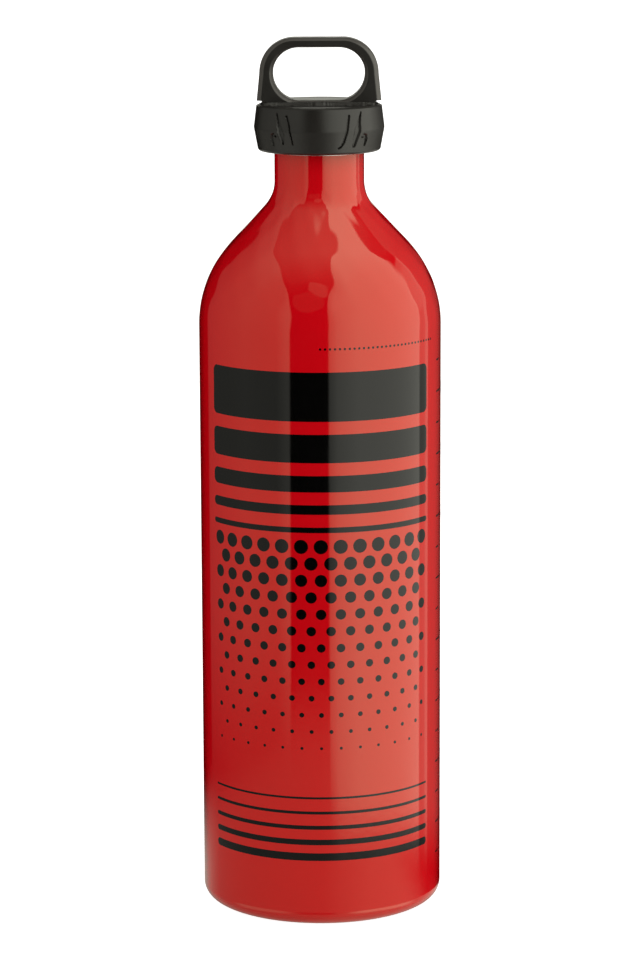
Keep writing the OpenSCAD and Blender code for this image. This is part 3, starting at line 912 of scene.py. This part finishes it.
class FUELBOTTLE_OT_handle(Operator):
    """Make the cap top with its carrying loop, drive dogs and spigot"""
    bl_idname = "fuel_bottle.make_handle"
    bl_label = "Cap top and loop"

    def execute(self, context):
        cap = context.scene.fuel_bottle_cap
        plug = context.scene.fuel_bottle_plug
        top = COLLAR_HIGH.z + cap.lid_height
        under = top - cap.lid_thick
        spigot_z = under - cap.spigot_height
        edge = rounded([(cap.lid, under), (cap.lid, COLLAR_HIGH.z - 1.5 * cap.gap),
                        (cap.lid - cap.gap, COLLAR_HIGH.z - cap.gap), (cap.lid - cap.gap, COLLAR_HIGH.z),
                        (cap.lid, top - 0.3 * MM), (cap.lid - 0.3 * MM, top), (cap.lid - 2 * MM, top)],
                       0.15 * MM, 3)
        low = divided(path([(0, spigot_z), (cap.spigot, spigot_z), (cap.spigot, under)], edge), 2.5 * MM)
        profile = path(low, divided(np.array([edge[-1], (0, top)]), 0.5 * MM))
        rings = turned(profile[:, 0], profile[:, 1], 192)
        foot = COLLAR_HIGH.z - 1.5 * cap.gap
        share = smooth_step(0.4 * MM, 0.9 * MM, -rings[..., 1] - cap.loop_depth / 2)
        above = np.maximum(rings[..., 2] - foot, 0) / (top - foot)
        rings[..., 2] -= cap.lid_front * share * above
        disc = skin(rings, "poles")
        dogs = dog_ring(plug, HANDLE_LOW.z, under + 0.2 * MM, 0.5)
        loop = loop_ring(cap)
        solid = join([disc, dogs, loop])
        # The bevel faces of the loop get the paler plastic: a painted highlight on them
        depth = cap.loop_depth / 2 - np.abs(loop[0][loop[1], 1].mean(axis=1))
        finish = np.zeros(len(solid[1]) + len(solid[2]))
        finish[len(solid[1]) - len(loop[1]):len(solid[1])] = (depth > 0.06 * MM) & (depth < cap.outer_bevel)
        make_piece("cap_top", solid, [cap_plastic(context), bevel_highlight_plastic(context)], "cap",
                   ["cap_handle"], 32, finish)
        return {"FINISHED"}


# Plug, seal ring and spring

class FUELBOTTLE_OT_plug(Operator):
    """Make the threaded plug with its flange, spring cup and drive dogs"""
    bl_idname = "fuel_bottle.make_plug"
    bl_label = "Plug"

    def execute(self, context):
        plug = context.scene.fuel_bottle_plug
        thread = context.scene.fuel_bottle_thread
        low = PLUG_LOW.z
        flange_top = PLUG_HIGH.z - plug.dog_height
        flange = flange_top - plug.flange
        rim = PLUG_HIGH.x
        floor = low + plug.floor
        profile = path(
            divided(np.array([(0, low), (plug.core - plug.nose, low), (plug.core, low + plug.nose)]), 2 * MM),
            divided(np.array([(plug.core, low + plug.nose), (plug.core, flange)]), 0.14 * MM),
            divided(np.array([(plug.core, flange), (rim, flange), (rim, flange_top - plug.flange_edge),
                              (rim - plug.flange_edge, flange_top), (plug.cup, flange_top),
                              (plug.cup, floor), (0, floor)]), 2 * MM))
        on_core = (np.abs(profile[:, 0] - plug.core) < 0.001 * MM) & (profile[:, 1] < flange - 0.05 * MM)

        def shift(angle, height):
            return ridge_height(angle, height, thread.plug_start, thread.plug_turns, thread) * on_core[:, None]

        body = skin(turned(profile[:, 0], profile[:, 1], 240, shift), "poles")
        dogs = dog_ring(plug, flange_top - 0.2 * MM, PLUG_HIGH.z, 0)
        make_piece("plug", join([body, dogs]), [plug_plastic(context)], "plug",
                   ["inner_plug"], 32)
        return {"FINISHED"}


class FUELBOTTLE_OT_seal(Operator):
    """Make the rubber seal ring under the flange of the plug"""
    bl_idname = "fuel_bottle.make_seal"
    bl_label = "Seal ring"

    def execute(self, context):
        cord = (SEAL_HIGH.z - SEAL_LOW.z) / 2
        section = arc(SEAL_HIGH.x - cord, (SEAL_HIGH.z + SEAL_LOW.z) / 2, cord, 0, 360, 25)[:-1]
        rings = turned(section[:, 0], section[:, 1], 192)
        make_piece("seal", skin(rings, "loop"), [seal_rubber(context)], "riser",
                   ["seal_ring"])
        return {"FINISHED"}


class FUELBOTTLE_OT_spring(Operator):
    """Wind the spring that holds the cap up"""
    bl_idname = "fuel_bottle.make_spring"
    bl_label = "Spring"

    def execute(self, context):
        plug = context.scene.fuel_bottle_plug
        wire = plug.wire / 2
        mean = SPRING_HIGH.x - wire
        low = SPRING_LOW.z + wire
        rise = SPRING_HIGH.z - SPRING_LOW.z - plug.wire
        turn = np.linspace(0, plug.coils, plug.coils * 48 + 1)
        closed = 1.08 * plug.wire
        height = low + np.interp(turn, [0, 1, plug.coils - 1, plug.coils], [0, closed, rise - closed, rise])
        height = np.convolve(np.pad(height, 12, "edge"), np.full(25, 1 / 25), "valid")
        height = low + (height - height[0]) * rise / (height[-1] - height[0])
        around = -np.arange(12) * (2 * math.pi / 12)
        radius = mean + wire * np.cos(around)
        angle = 2 * math.pi * turn[:, None]
        rings = np.stack((radius * np.cos(angle), radius * np.sin(angle),
                          height[:, None] + wire * np.sin(around)), axis=-1)
        spring = make_piece("spring", skin(rings, "caps"), [spring_steel(context)], "plug",
                            ["cap_spring"])
        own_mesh(spring)
        return {"FINISHED"}


# Shader nodes

def set_inputs(tree, node, inputs):
    """Gives sockets of a node their values, or links them to the sockets given instead of a value."""
    for name, value in inputs.items():
        if isinstance(value, bpy.types.NodeSocket):
            tree.links.new(value, node.inputs[name])
        else:
            node.inputs[name].default_value = value


def add(tree, kind, inputs=None, **settings):
    """Adds a node of a kind to a tree. Settings are its own options; inputs name its sockets, and each is
    set to a value or linked to another node's socket."""
    made = tree.nodes.new(kind)
    for name, value in settings.items():
        setattr(made, name, value)
    set_inputs(tree, made, inputs or {})
    return made


def compute(tree, operation, *values, clamp=False):
    """Adds a Math node and returns its result."""
    made = add(tree, "ShaderNodeMath", dict(enumerate(values)), operation=operation, use_clamp=clamp)
    return made.outputs[0]


def remap(tree, value, low, high, to_low=0.0, to_high=1.0, kind="LINEAR"):
    """Adds a Map Range node, which carries low to to_low and high to to_high and holds still outside them."""
    made = add(tree, "ShaderNodeMapRange", {"Value": value, "From Min": low, "From Max": high,
                                            "To Min": to_low, "To Max": to_high}, interpolation_type=kind)
    return made.outputs["Result"]


def new_group(name, inputs, outputs):
    """An empty shader group with its sockets: each input has a name, a kind and a value, each output a name
    and a kind. Returns the group, its input node and its output node."""
    group = bpy.data.node_groups.new(name, "ShaderNodeTree")
    for label, kind, value in inputs:
        socket = group.interface.new_socket(name=label, in_out="INPUT", socket_type=kind)
        socket.default_value = value
    for label, kind in outputs:
        group.interface.new_socket(name=label, in_out="OUTPUT", socket_type=kind)
    return group, group.nodes.new("NodeGroupInput"), group.nodes.new("NodeGroupOutput")


def surface_grain():
    """The group that gives every finish its fine grain: a height from one noise, and a roughness that a
    coarser noise moves up and down by its spread."""
    name = "surface_grain"
    if name in bpy.data.node_groups:
        return bpy.data.node_groups[name]
    group, given, result = new_group(
        name,
        [("Grain size", "NodeSocketFloat", 0.5), ("Stretch", "NodeSocketFloat", 1.0),
         ("Roughness", "NodeSocketFloat", 0.3), ("Spread", "NodeSocketFloat", 0.05)],
        [("Height", "NodeSocketFloat"), ("Roughness", "NodeSocketFloat")])
    place = add(group, "ShaderNodeTexCoord").outputs["Object"]
    scale = add(group, "ShaderNodeCombineXYZ", {"X": 1.0, "Y": 1.0, "Z": given.outputs["Stretch"]})
    drawn = add(group, "ShaderNodeVectorMath", {0: place, 1: scale.outputs[0]}, operation="MULTIPLY")
    finer = compute(group, "DIVIDE", 1000.0, given.outputs["Grain size"])
    grain = add(group, "ShaderNodeTexNoise", {"Vector": drawn.outputs[0], "Scale": finer, "Detail": 3.0})
    cloud = add(group, "ShaderNodeTexNoise", {"Vector": drawn.outputs[0], "Scale": 90.0, "Detail": 4.0})
    swing = remap(group, cloud.outputs[0], 0.3, 0.7, -1.0, 1.0)
    moved = compute(group, "MULTIPLY_ADD", swing, given.outputs["Spread"], given.outputs["Roughness"])
    group.links.new(grain.outputs[0], result.inputs["Height"])
    group.links.new(moved, result.inputs["Roughness"])
    return group


def rubbed_band():
    """The group for edge wear: a mask that is 1 in specks near one height of the object and 0 away from it.
    The nearness fades over a band, and a noise has to be above what the nearness leaves."""
    name = "rubbed_band"
    if name in bpy.data.node_groups:
        return bpy.data.node_groups[name]
    group, given, result = new_group(
        name,
        [("Height", "NodeSocketFloat", 0.0), ("Band", "NodeSocketFloat", 0.001),
         ("Amount", "NodeSocketFloat", 0.5), ("Speck size", "NodeSocketFloat", 1.0)],
        [("Mask", "NodeSocketFloat")])
    place = add(group, "ShaderNodeTexCoord").outputs["Object"]
    z = add(group, "ShaderNodeSeparateXYZ", {0: place}).outputs["Z"]
    off = compute(group, "ABSOLUTE", compute(group, "SUBTRACT", z, given.outputs["Height"]))
    near = compute(group, "SUBTRACT", 1.0, compute(group, "DIVIDE", off, given.outputs["Band"]), clamp=True)
    finer = compute(group, "DIVIDE", 1000.0, given.outputs["Speck size"])
    specks = add(group, "ShaderNodeTexNoise", {"Vector": place, "Scale": finer, "Detail": 6.0,
                                               "Roughness": 0.7})
    wanted = compute(group, "MULTIPLY", near, given.outputs["Amount"])
    over = compute(group, "ADD", specks.outputs[0], wanted)
    group.links.new(remap(group, over, 0.92, 1.0), result.inputs["Mask"])
    return group


def use_group(tree, group, inputs):
    """Places a group in a tree with its own values and links."""
    made = add(tree, "ShaderNodeGroup", node_tree=group)
    set_inputs(tree, made, inputs)
    return made


def new_material(name):
    """An empty node material with its Principled shader, or None and the one already made."""
    if name in bpy.data.materials:
        return bpy.data.materials[name], None
    material = bpy.data.materials.new(name)
    material.use_nodes = True
    return material, material.node_tree.nodes["Principled BSDF"]


def give_grain(tree, shader, depth, **values):
    """Links the fine grain to a shader: its roughness, and its height as a bump of a depth in metres."""
    inputs = {"Grain size": values["size"], "Stretch": values.get("stretch", 1.0),
              "Roughness": values["roughness"], "Spread": values["spread"]}
    grain = use_group(tree, surface_grain(), inputs)
    bump = add(tree, "ShaderNodeBump", {"Height": grain.outputs["Height"], "Strength": 1.0, "Distance": depth})
    tree.links.new(grain.outputs["Roughness"], shader.inputs["Roughness"])
    tree.links.new(bump.outputs["Normal"], shader.inputs["Normal"])


def mixed(tree, factor, a, b):
    """Adds a colour mix of a and b by a factor and returns its result."""
    made = add(tree, "ShaderNodeMix", data_type="RGBA")
    tree.links.new(factor, made.inputs["Factor"])
    for socket, value in ((made.inputs[6], a), (made.inputs[7], b)):
        if isinstance(value, bpy.types.NodeSocket):
            tree.links.new(value, socket)
        else:
            socket.default_value = value
    return made.outputs[2]


def shade(colour, factor):
    """A colour made lighter or darker by a factor, as red, green, blue and alpha."""
    return (*(min(1.0, c * factor) for c in colour), 1.0)


def lacquer(context):
    """Red lacquer on aluminium: a deep red with a slight metal glint, clouded a little, darkened by painted shade
    where it is seen edge on, duller round the bottom edge, and rubbed to the metal in specks on the standing ring."""
    colours = context.scene.fuel_bottle_finishes
    material, shader = new_material("gloss_lacquer")
    if shader is None:
        return material
    tree = material.node_tree
    shader.inputs["IOR"].default_value = 1.75
    shader.inputs["Specular Tint"].default_value = (1.0, 1.0, 0.74, 1.0)
    place = add(tree, "ShaderNodeTexCoord").outputs["Object"]
    cloud = add(tree, "ShaderNodeTexNoise", {"Vector": place, "Scale": 14.0, "Detail": 3.0})
    clouded = mixed(tree, cloud.outputs[0], shade(colours.lacquer, 0.97), shade(colours.lacquer, 1.03))
    # Painted shade: the red falls to 0.56 of itself where the surface is seen edge on
    away = remap(tree, add(tree, "ShaderNodeLayerWeight", {"Blend": 0.5}).outputs["Facing"], 0.70, 0.87)
    red = mixed(tree, away, clouded, shade(colours.lacquer, 0.56))
    rubbed = use_group(tree, rubbed_band(), {"Height": 0.0, "Band": 0.5 * MM, "Amount": 0.55,
                                             "Speck size": 0.8}).outputs["Mask"]
    tree.links.new(mixed(tree, rubbed, red, shade(colours.aluminium, 0.9)), shader.inputs["Base Color"])
    tree.links.new(rubbed, shader.inputs["Metallic"])
    height = add(tree, "ShaderNodeSeparateXYZ", {0: place}).outputs["Z"]
    worn = remap(tree, height, 2.0 * MM, 5.5 * MM, 0.36, 0.05, kind="SMOOTHSTEP")
    give_grain(tree, shader, 0.004 * MM, size=2.2, roughness=worn, spread=0.012)
    return material


def printed_ink(context):
    """Glossy black ink, slightly duller than the lacquer under it."""
    colours = context.scene.fuel_bottle_finishes
    material, shader = new_material("gloss_ink")
    if shader is None:
        return material
    tree = material.node_tree
    place = add(tree, "ShaderNodeTexCoord").outputs["Object"]
    cloud = add(tree, "ShaderNodeTexNoise", {"Vector": place, "Scale": 220.0, "Detail": 4.0})
    tree.links.new(mixed(tree, cloud.outputs[0], shade(colours.ink, 0.7), shade(colours.ink, 1.3)),
                   shader.inputs["Base Color"])
    shader.inputs["IOR"].default_value = 1.5
    give_grain(tree, shader, 0.003 * MM, size=1.4, roughness=0.07, spread=0.02)
    return material


def moulded_plastic(name, colour, roughness, height, band):
    """Black moulded plastic: a fine spark-eroded grain, cloudy gloss, and a little paler where hands and
    straps rub its proudest edge."""
    material, shader = new_material(name)
    if shader is None:
        return material
    tree = material.node_tree
    place = add(tree, "ShaderNodeTexCoord").outputs["Object"]
    cloud = add(tree, "ShaderNodeTexNoise", {"Vector": place, "Scale": 130.0, "Detail": 5.0})
    black = mixed(tree, cloud.outputs[0], shade(colour, 0.75), shade(colour, 1.3))
    shader.inputs["IOR"].default_value = 1.62
    rubbed = use_group(tree, rubbed_band(), {"Height": height, "Band": band, "Amount": 0.34,
                                             "Speck size": 1.4}).outputs["Mask"]
    tree.links.new(mixed(tree, rubbed, black, shade(colour, 1.9)), shader.inputs["Base Color"])
    give_grain(tree, shader, 0.012 * MM, size=0.55, roughness=roughness, spread=0.05)
    return material


def cap_plastic(context):
    """Satin black plastic of the collar and the cap top, rubbed along the ridge."""
    cap = context.scene.fuel_bottle_cap
    ridge = COLLAR_LOW.z + cap.ridge_height
    return moulded_plastic("satin_cap", context.scene.fuel_bottle_finishes.plastic, 0.32, ridge, 1.2 * MM)


def bevel_highlight_plastic(context):
    """The same plastic on the bevels of the loop, in a paler colour that is a painted highlight, with rubbed
    specks paler still along the top.
    """
    return moulded_plastic("satin_bevel_highlight", context.scene.fuel_bottle_finishes.edge, 0.32, HANDLE_HIGH.z, MM)


def plug_plastic(context):
    """The same plastic for the plug, rubbed at its lower end."""
    return moulded_plastic("satin_plug", context.scene.fuel_bottle_finishes.plastic, 0.36, PLUG_LOW.z, MM)


def bare_aluminium(context):
    """Turned bare aluminium: fine rings round the neck, from a noise drawn out sideways."""
    material, shader = new_material("turned_aluminium")
    if shader is None:
        return material
    tree = material.node_tree
    colour = context.scene.fuel_bottle_finishes.aluminium
    place = add(tree, "ShaderNodeTexCoord").outputs["Object"]
    cloud = add(tree, "ShaderNodeTexNoise", {"Vector": place, "Scale": 160.0, "Detail": 4.0})
    tree.links.new(mixed(tree, cloud.outputs[0], shade(colour, 0.86), shade(colour, 1.05)),
                   shader.inputs["Base Color"])
    shader.inputs["Metallic"].default_value = 1.0
    give_grain(tree, shader, 0.006 * MM, size=4.0, stretch=24.0, roughness=0.3, spread=0.08)
    return material


def seal_rubber(context):
    """Matt black rubber with a bloom that lightens it in patches."""
    material, shader = new_material("matt_rubber")
    if shader is None:
        return material
    tree = material.node_tree
    colour = context.scene.fuel_bottle_finishes.rubber
    place = add(tree, "ShaderNodeTexCoord").outputs["Object"]
    cloud = add(tree, "ShaderNodeTexNoise", {"Vector": place, "Scale": 260.0, "Detail": 5.0})
    tree.links.new(mixed(tree, cloud.outputs[0], shade(colour, 0.8), shade(colour, 1.6)),
                   shader.inputs["Base Color"])
    give_grain(tree, shader, 0.01 * MM, size=0.4, roughness=0.68, spread=0.06)
    return material


def spring_steel(context):
    """Bright drawn wire with a darker scale in places."""
    material, shader = new_material("drawn_wire")
    if shader is None:
        return material
    tree = material.node_tree
    colour = context.scene.fuel_bottle_finishes.steel
    place = add(tree, "ShaderNodeTexCoord").outputs["Object"]
    cloud = add(tree, "ShaderNodeTexNoise", {"Vector": place, "Scale": 400.0, "Detail": 4.0})
    tree.links.new(mixed(tree, cloud.outputs[0], shade(colour, 0.7), shade(colour, 1.15)),
                   shader.inputs["Base Color"])
    shader.inputs["Metallic"].default_value = 1.0
    give_grain(tree, shader, 0.004 * MM, size=0.6, roughness=0.24, spread=0.06)
    return material


# Studio

def soft_box():
    """The group for one soft box of the studio, a superellipse in azimuth and elevation: with u and v the
    distances from its middle over its half width and half height, its light is 1 where (u^p + v^p)^(1/p) is
    under 1 - softness, and falls to 0 at 1."""
    group, given, result = new_group(
        "soft_box",
        [("Azimuth", "NodeSocketFloat", 0.0), ("Elevation", "NodeSocketFloat", 0.0),
         ("Middle azimuth", "NodeSocketFloat", 0.0), ("Middle elevation", "NodeSocketFloat", 0.0),
         ("Half width", "NodeSocketFloat", 40.0), ("Half height", "NodeSocketFloat", 40.0),
         ("Power", "NodeSocketFloat", 3.0), ("Softness", "NodeSocketFloat", 0.05)],
        [("Light", "NodeSocketFloat")])
    raised = []
    for axis, size in (("azimuth", "Half width"), ("elevation", "Half height")):
        off = compute(group, "SUBTRACT", given.outputs[axis.capitalize()], given.outputs["Middle " + axis])
        share = compute(group, "DIVIDE", compute(group, "ABSOLUTE", off), given.outputs[size])
        raised.append(compute(group, "POWER", share, given.outputs["Power"]))
    root = compute(group, "DIVIDE", 1.0, given.outputs["Power"])
    away = compute(group, "POWER", compute(group, "ADD", *raised), root)
    inside = compute(group, "DIVIDE", compute(group, "SUBTRACT", 1.0, away), given.outputs["Softness"], clamp=True)
    group.links.new(remap(group, inside, 0.0, 1.0, kind="SMOOTHSTEP"), result.inputs["Light"])
    return group


def studio_light(world, studio):
    """Fills the world with the studio's light. Its direction is told as azimuth from the camera's side,
    positive to the right, and elevation above the horizon, both in degrees. Gloss mirrors the soft boxes, the
    ceiling and the table; matt surfaces gather an even light that leans to the right; the camera sees white."""
    tree = world.node_tree
    tree.nodes.clear()
    way = add(tree, "ShaderNodeSeparateXYZ", {0: add(tree, "ShaderNodeTexCoord").outputs["Generated"]})
    toward = compute(tree, "MULTIPLY", way.outputs["Y"], -1.0)
    azimuth = compute(tree, "DEGREES", compute(tree, "ARCTAN2", way.outputs["X"], toward))
    elevation = compute(tree, "DEGREES", compute(tree, "ARCSINE", way.outputs["Z"]))
    from_front = compute(tree, "ABSOLUTE", azimuth)
    group = soft_box()

    def box(side, middle, size, power, softness):
        inputs = {"Azimuth": side, "Elevation": elevation, "Middle azimuth": middle[0],
                  "Middle elevation": middle[1], "Half width": size[0], "Half height": size[1],
                  "Power": power, "Softness": softness}
        return use_group(tree, group, inputs).outputs["Light"]

    def times(*values):
        product = values[0]
        for value in values[1:]:
            product = compute(tree, "MULTIPLY", product, value)
        return product

    def plus(*values):
        total = values[0]
        for value in values[1:]:
            total = compute(tree, "ADD", total, value)
        return total

    right = times(box(azimuth, (60.0, 0.0), (53.0, 75.5), 3.0, 0.03),
                  remap(tree, azimuth, 4.5, 9.5, kind="SMOOTHSTEP"),
                  remap(tree, azimuth, 9.0, 16.0, 0.66, 1.0), remap(tree, azimuth, 107.0, 110.0, 1.0, 0.0),
                  remap(tree, azimuth, 14.0, 36.0, 0.68, 0.95),
                  remap(tree, azimuth, 36.0, 90.0, 1.0, 1.08), studio.right_box)
    right_side = plus(times(box(azimuth, (116.0, -2.0), (9.0, 38.0), 6.0, 0.1), 0.36 * studio.right_box),
                      times(box(azimuth, (113.0, 17.0), (7.0, 14.0), 4.0, 0.3), 0.13 * studio.right_box),
                      times(box(azimuth, (140.0, 0.0), (22.0, 60.0), 6.0, 0.1),
                            remap(tree, azimuth, 122.0, 158.0, 0.24, 0.05)))
    left = times(box(azimuth, (-90.0, 0.0), (62.5, 57.5), 2.5, 0.03),
                 remap(tree, azimuth, -135.0, -133.0),
                 remap(tree, azimuth, -134.0, -76.0, 0.26, 1.0),
                 remap(tree, azimuth, -42.0, -32.0, 0.88, 1.35),
                 remap(tree, elevation, -11.0, 45.0, 0.95, 1.2), studio.left_box)
    board = box(from_front, (180.0, 0.0), (10.0, 17.0), 4.0, 0.1)
    small = plus(times(box(azimuth, (-3.0, 41.0), (13.0, 6.5), 4.0, 0.2), 0.26),
                 times(box(azimuth, (-12.0, 28.0), (17.0, 8.0), 4.0, 0.2), 0.08))
    ceiling = times(remap(tree, elevation, 43.0, 78.0, 0.16, 1.0), remap(tree, elevation, 30.0, 46.0),
                    remap(tree, elevation, 79.0, 83.0, 1.0, 3.2), studio.ceiling)
    boxes = times(plus(right, right_side, left, board, small, ceiling),
                  remap(tree, elevation, -17.2, -16.0, kind="SMOOTHSTEP"))
    level = plus(remap(tree, azimuth, 0.0, 50.0, 0.0, 0.5), remap(tree, from_front, 120.0, 150.0, 0.0, 0.5), 0.5)
    lower = plus(elevation, remap(tree, azimuth, 20.0, 124.0, 0.0, 3.6),
                 remap(tree, azimuth, -20.0, -150.0, 0.0, 1.9))
    table = times(remap(tree, lower, -13.6, -15.4, kind="SMOOTHSTEP"), level, studio.table_glow)
    dimmed = compute(tree, "SUBTRACT", 1.0, times(box(azimuth, (-6.0, -28.0), (22.0, 10.0), 4.0, 0.3), 0.6))
    under = plus(times(box(azimuth, (66.0, -28.0), (44.0, 10.0), 4.0, 0.4), 1.0),
                 times(box(azimuth, (-64.0, -28.0), (38.0, 10.0), 4.0, 0.4), 0.36), times(table, dimmed))
    shaded = times(boxes, remap(tree, plus(elevation, times(remap(tree, azimuth, -10.0, 20.0), 3.0)),
                                -16.5, -13.0))
    total = compute(tree, "MAXIMUM", shaded, under)
    beside = compute(tree, "MULTIPLY_ADD", way.outputs["X"], studio.fill_sides, studio.fill_lean)
    fill = compute(tree, "MULTIPLY_ADD", way.outputs["X"], beside, studio.fill)
    ray = add(tree, "ShaderNodeLightPath")
    mirrored = add(tree, "ShaderNodeBackground", {"Color": (1.0, 1.0, 0.88, 1.0), "Strength": total})
    even = add(tree, "ShaderNodeBackground", {"Color": (1.0, 0.98, 0.93, 1.0), "Strength": fill})
    white = add(tree, "ShaderNodeBackground", {"Color": (1.0, 1.0, 1.0, 1.0), "Strength": 1.0})
    lit = add(tree, "ShaderNodeMixShader", {0: ray.outputs["Is Glossy Ray"], 1: even.outputs[0],
                                            2: mirrored.outputs[0]})
    mix = add(tree, "ShaderNodeMixShader", {0: ray.outputs["Is Camera Ray"], 1: lit.outputs[0],
                                            2: white.outputs[0]})
    add(tree, "ShaderNodeOutputWorld", {"Surface": mix.outputs[0]})


def studio_lamp(context):
    """A soft lamp above the camera's right shoulder, which brightens the upper half of matt surfaces and
    isn't mirrored by gloss."""
    studio = context.scene.fuel_bottle_studio
    lamp = bpy.data.objects.new("soft_lamp", bpy.data.lights.new("soft_lamp", "AREA"))
    lamp.data.size = 0.5
    lamp.data.energy = studio.lamp
    place = Vector((0.40, -0.55, 0.75))
    aim = Vector((0.0, 0.0, 0.2)) - place
    lamp.matrix_world = Matrix.Translation(place) @ aim.to_track_quat("-Z", "Y").to_matrix().to_4x4()
    lamp.visible_glossy = False
    context.scene.collection.objects.link(lamp)


def studio_floor(context):
    """A large pale floor, lit up a little, that gloss doesn't mirror."""
    studio = context.scene.fuel_bottle_studio
    half = 6.0
    mesh = bpy.data.meshes.new("floor")
    mesh.from_pydata([(-half, -half, 0), (half, -half, 0), (half, half, 0), (-half, half, 0)], [], [(0, 1, 2, 3)])
    material = bpy.data.materials.new("floor_paper")
    material.use_nodes = True
    tree = material.node_tree
    shader = tree.nodes["Principled BSDF"]
    shader.inputs["Base Color"].default_value = (*context.scene.fuel_bottle_finishes.floor, 1.0)
    shader.inputs["Roughness"].default_value = 0.9
    shader.inputs["Specular IOR Level"].default_value = 0.0
    seen = add(tree, "ShaderNodeLightPath").outputs["Is Camera Ray"]
    shader.inputs["Emission Color"].default_value = (1.0, 1.0, 1.0, 1.0)
    tree.links.new(compute(tree, "MULTIPLY", seen, studio.floor_glow), shader.inputs["Emission Strength"])
    mesh.materials.append(material)
    floor = bpy.data.objects.new("floor", mesh)
    context.scene.collection.objects.link(floor)
    floor.visible_glossy = False


class FUELBOTTLE_OT_stage(Operator):
    """Set up the camera, the pale floor and the studio's soft boxes"""
    bl_idname = "fuel_bottle.make_stage"
    bl_label = "Stage"

    def execute(self, context):
        scene = context.scene
        studio = scene.fuel_bottle_studio
        camera = bpy.data.objects.new("camera", bpy.data.cameras.new("camera"))
        camera.data.lens = studio.lens
        camera.data.clip_start = 0.01
        camera.data.clip_end = 50.0
        camera.matrix_world = (
            Matrix.Translation((studio.camera_side, -studio.camera_back, studio.camera_height))
            @ Matrix.Rotation(math.pi / 2 - studio.camera_tilt, 4, "X")
            @ Matrix.Rotation(studio.camera_roll, 4, "Z"))
        scene.collection.objects.link(camera)
        scene.camera = camera
        world = bpy.data.worlds.new("studio")
        world.use_nodes = True
        scene.world = world
        studio_light(world, studio)
        studio_lamp(context)
        studio_floor(context)
        scene.view_settings.view_transform = "Standard"
        return {"FINISHED"}


OPERATORS = (
    FUELBOTTLE_OT_stage,
    FUELBOTTLE_OT_bottle,
    FUELBOTTLE_OT_print,
    FUELBOTTLE_OT_collar,
    FUELBOTTLE_OT_handle,
    FUELBOTTLE_OT_plug,
    FUELBOTTLE_OT_seal,
    FUELBOTTLE_OT_spring,
)


class FUELBOTTLE_PT_panel(Panel):
    """Lists the pieces of the fuel bottle and their sizes"""
    bl_idname = "FUELBOTTLE_PT_panel"
    bl_label = "Camping fuel bottle"
    bl_space_type = "VIEW_3D"
    bl_region_type = "UI"
    bl_category = "Fuel bottle"

    def draw(self, context):
        for operator in OPERATORS:
            self.layout.operator(operator.bl_idname)
        for attribute, group in GROUPS.items():
            box = self.layout.box()
            box.label(text=group.__doc__)
            for name in group.__annotations__:
                box.prop(getattr(context.scene, attribute), name)


def register():
    """Registers the classes and hangs the sizes and colours on the scene."""
    for group in GROUPS.values():
        bpy.utils.register_class(group)
    for operator in OPERATORS:
        bpy.utils.register_class(operator)
    bpy.utils.register_class(FUELBOTTLE_PT_panel)
    for attribute, group in GROUPS.items():
        setattr(bpy.types.Scene, attribute, PointerProperty(type=group))


def unregister():
    """Takes away what register added."""
    for attribute in GROUPS:
        delattr(bpy.types.Scene, attribute)
    bpy.utils.unregister_class(FUELBOTTLE_PT_panel)
    for operator in reversed(OPERATORS):
        bpy.utils.unregister_class(operator)
    for group in GROUPS.values():
        bpy.utils.unregister_class(group)


def main():
    register()
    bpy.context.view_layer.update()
    bpy.ops.fuel_bottle.make_stage()
    bpy.ops.fuel_bottle.make_bottle()
    bpy.ops.fuel_bottle.make_print()
    bpy.ops.fuel_bottle.make_collar()
    bpy.ops.fuel_bottle.make_handle()
    bpy.ops.fuel_bottle.make_plug()
    bpy.ops.fuel_bottle.make_seal()
    bpy.ops.fuel_bottle.make_spring()


if __name__ == "__main__":
    main()
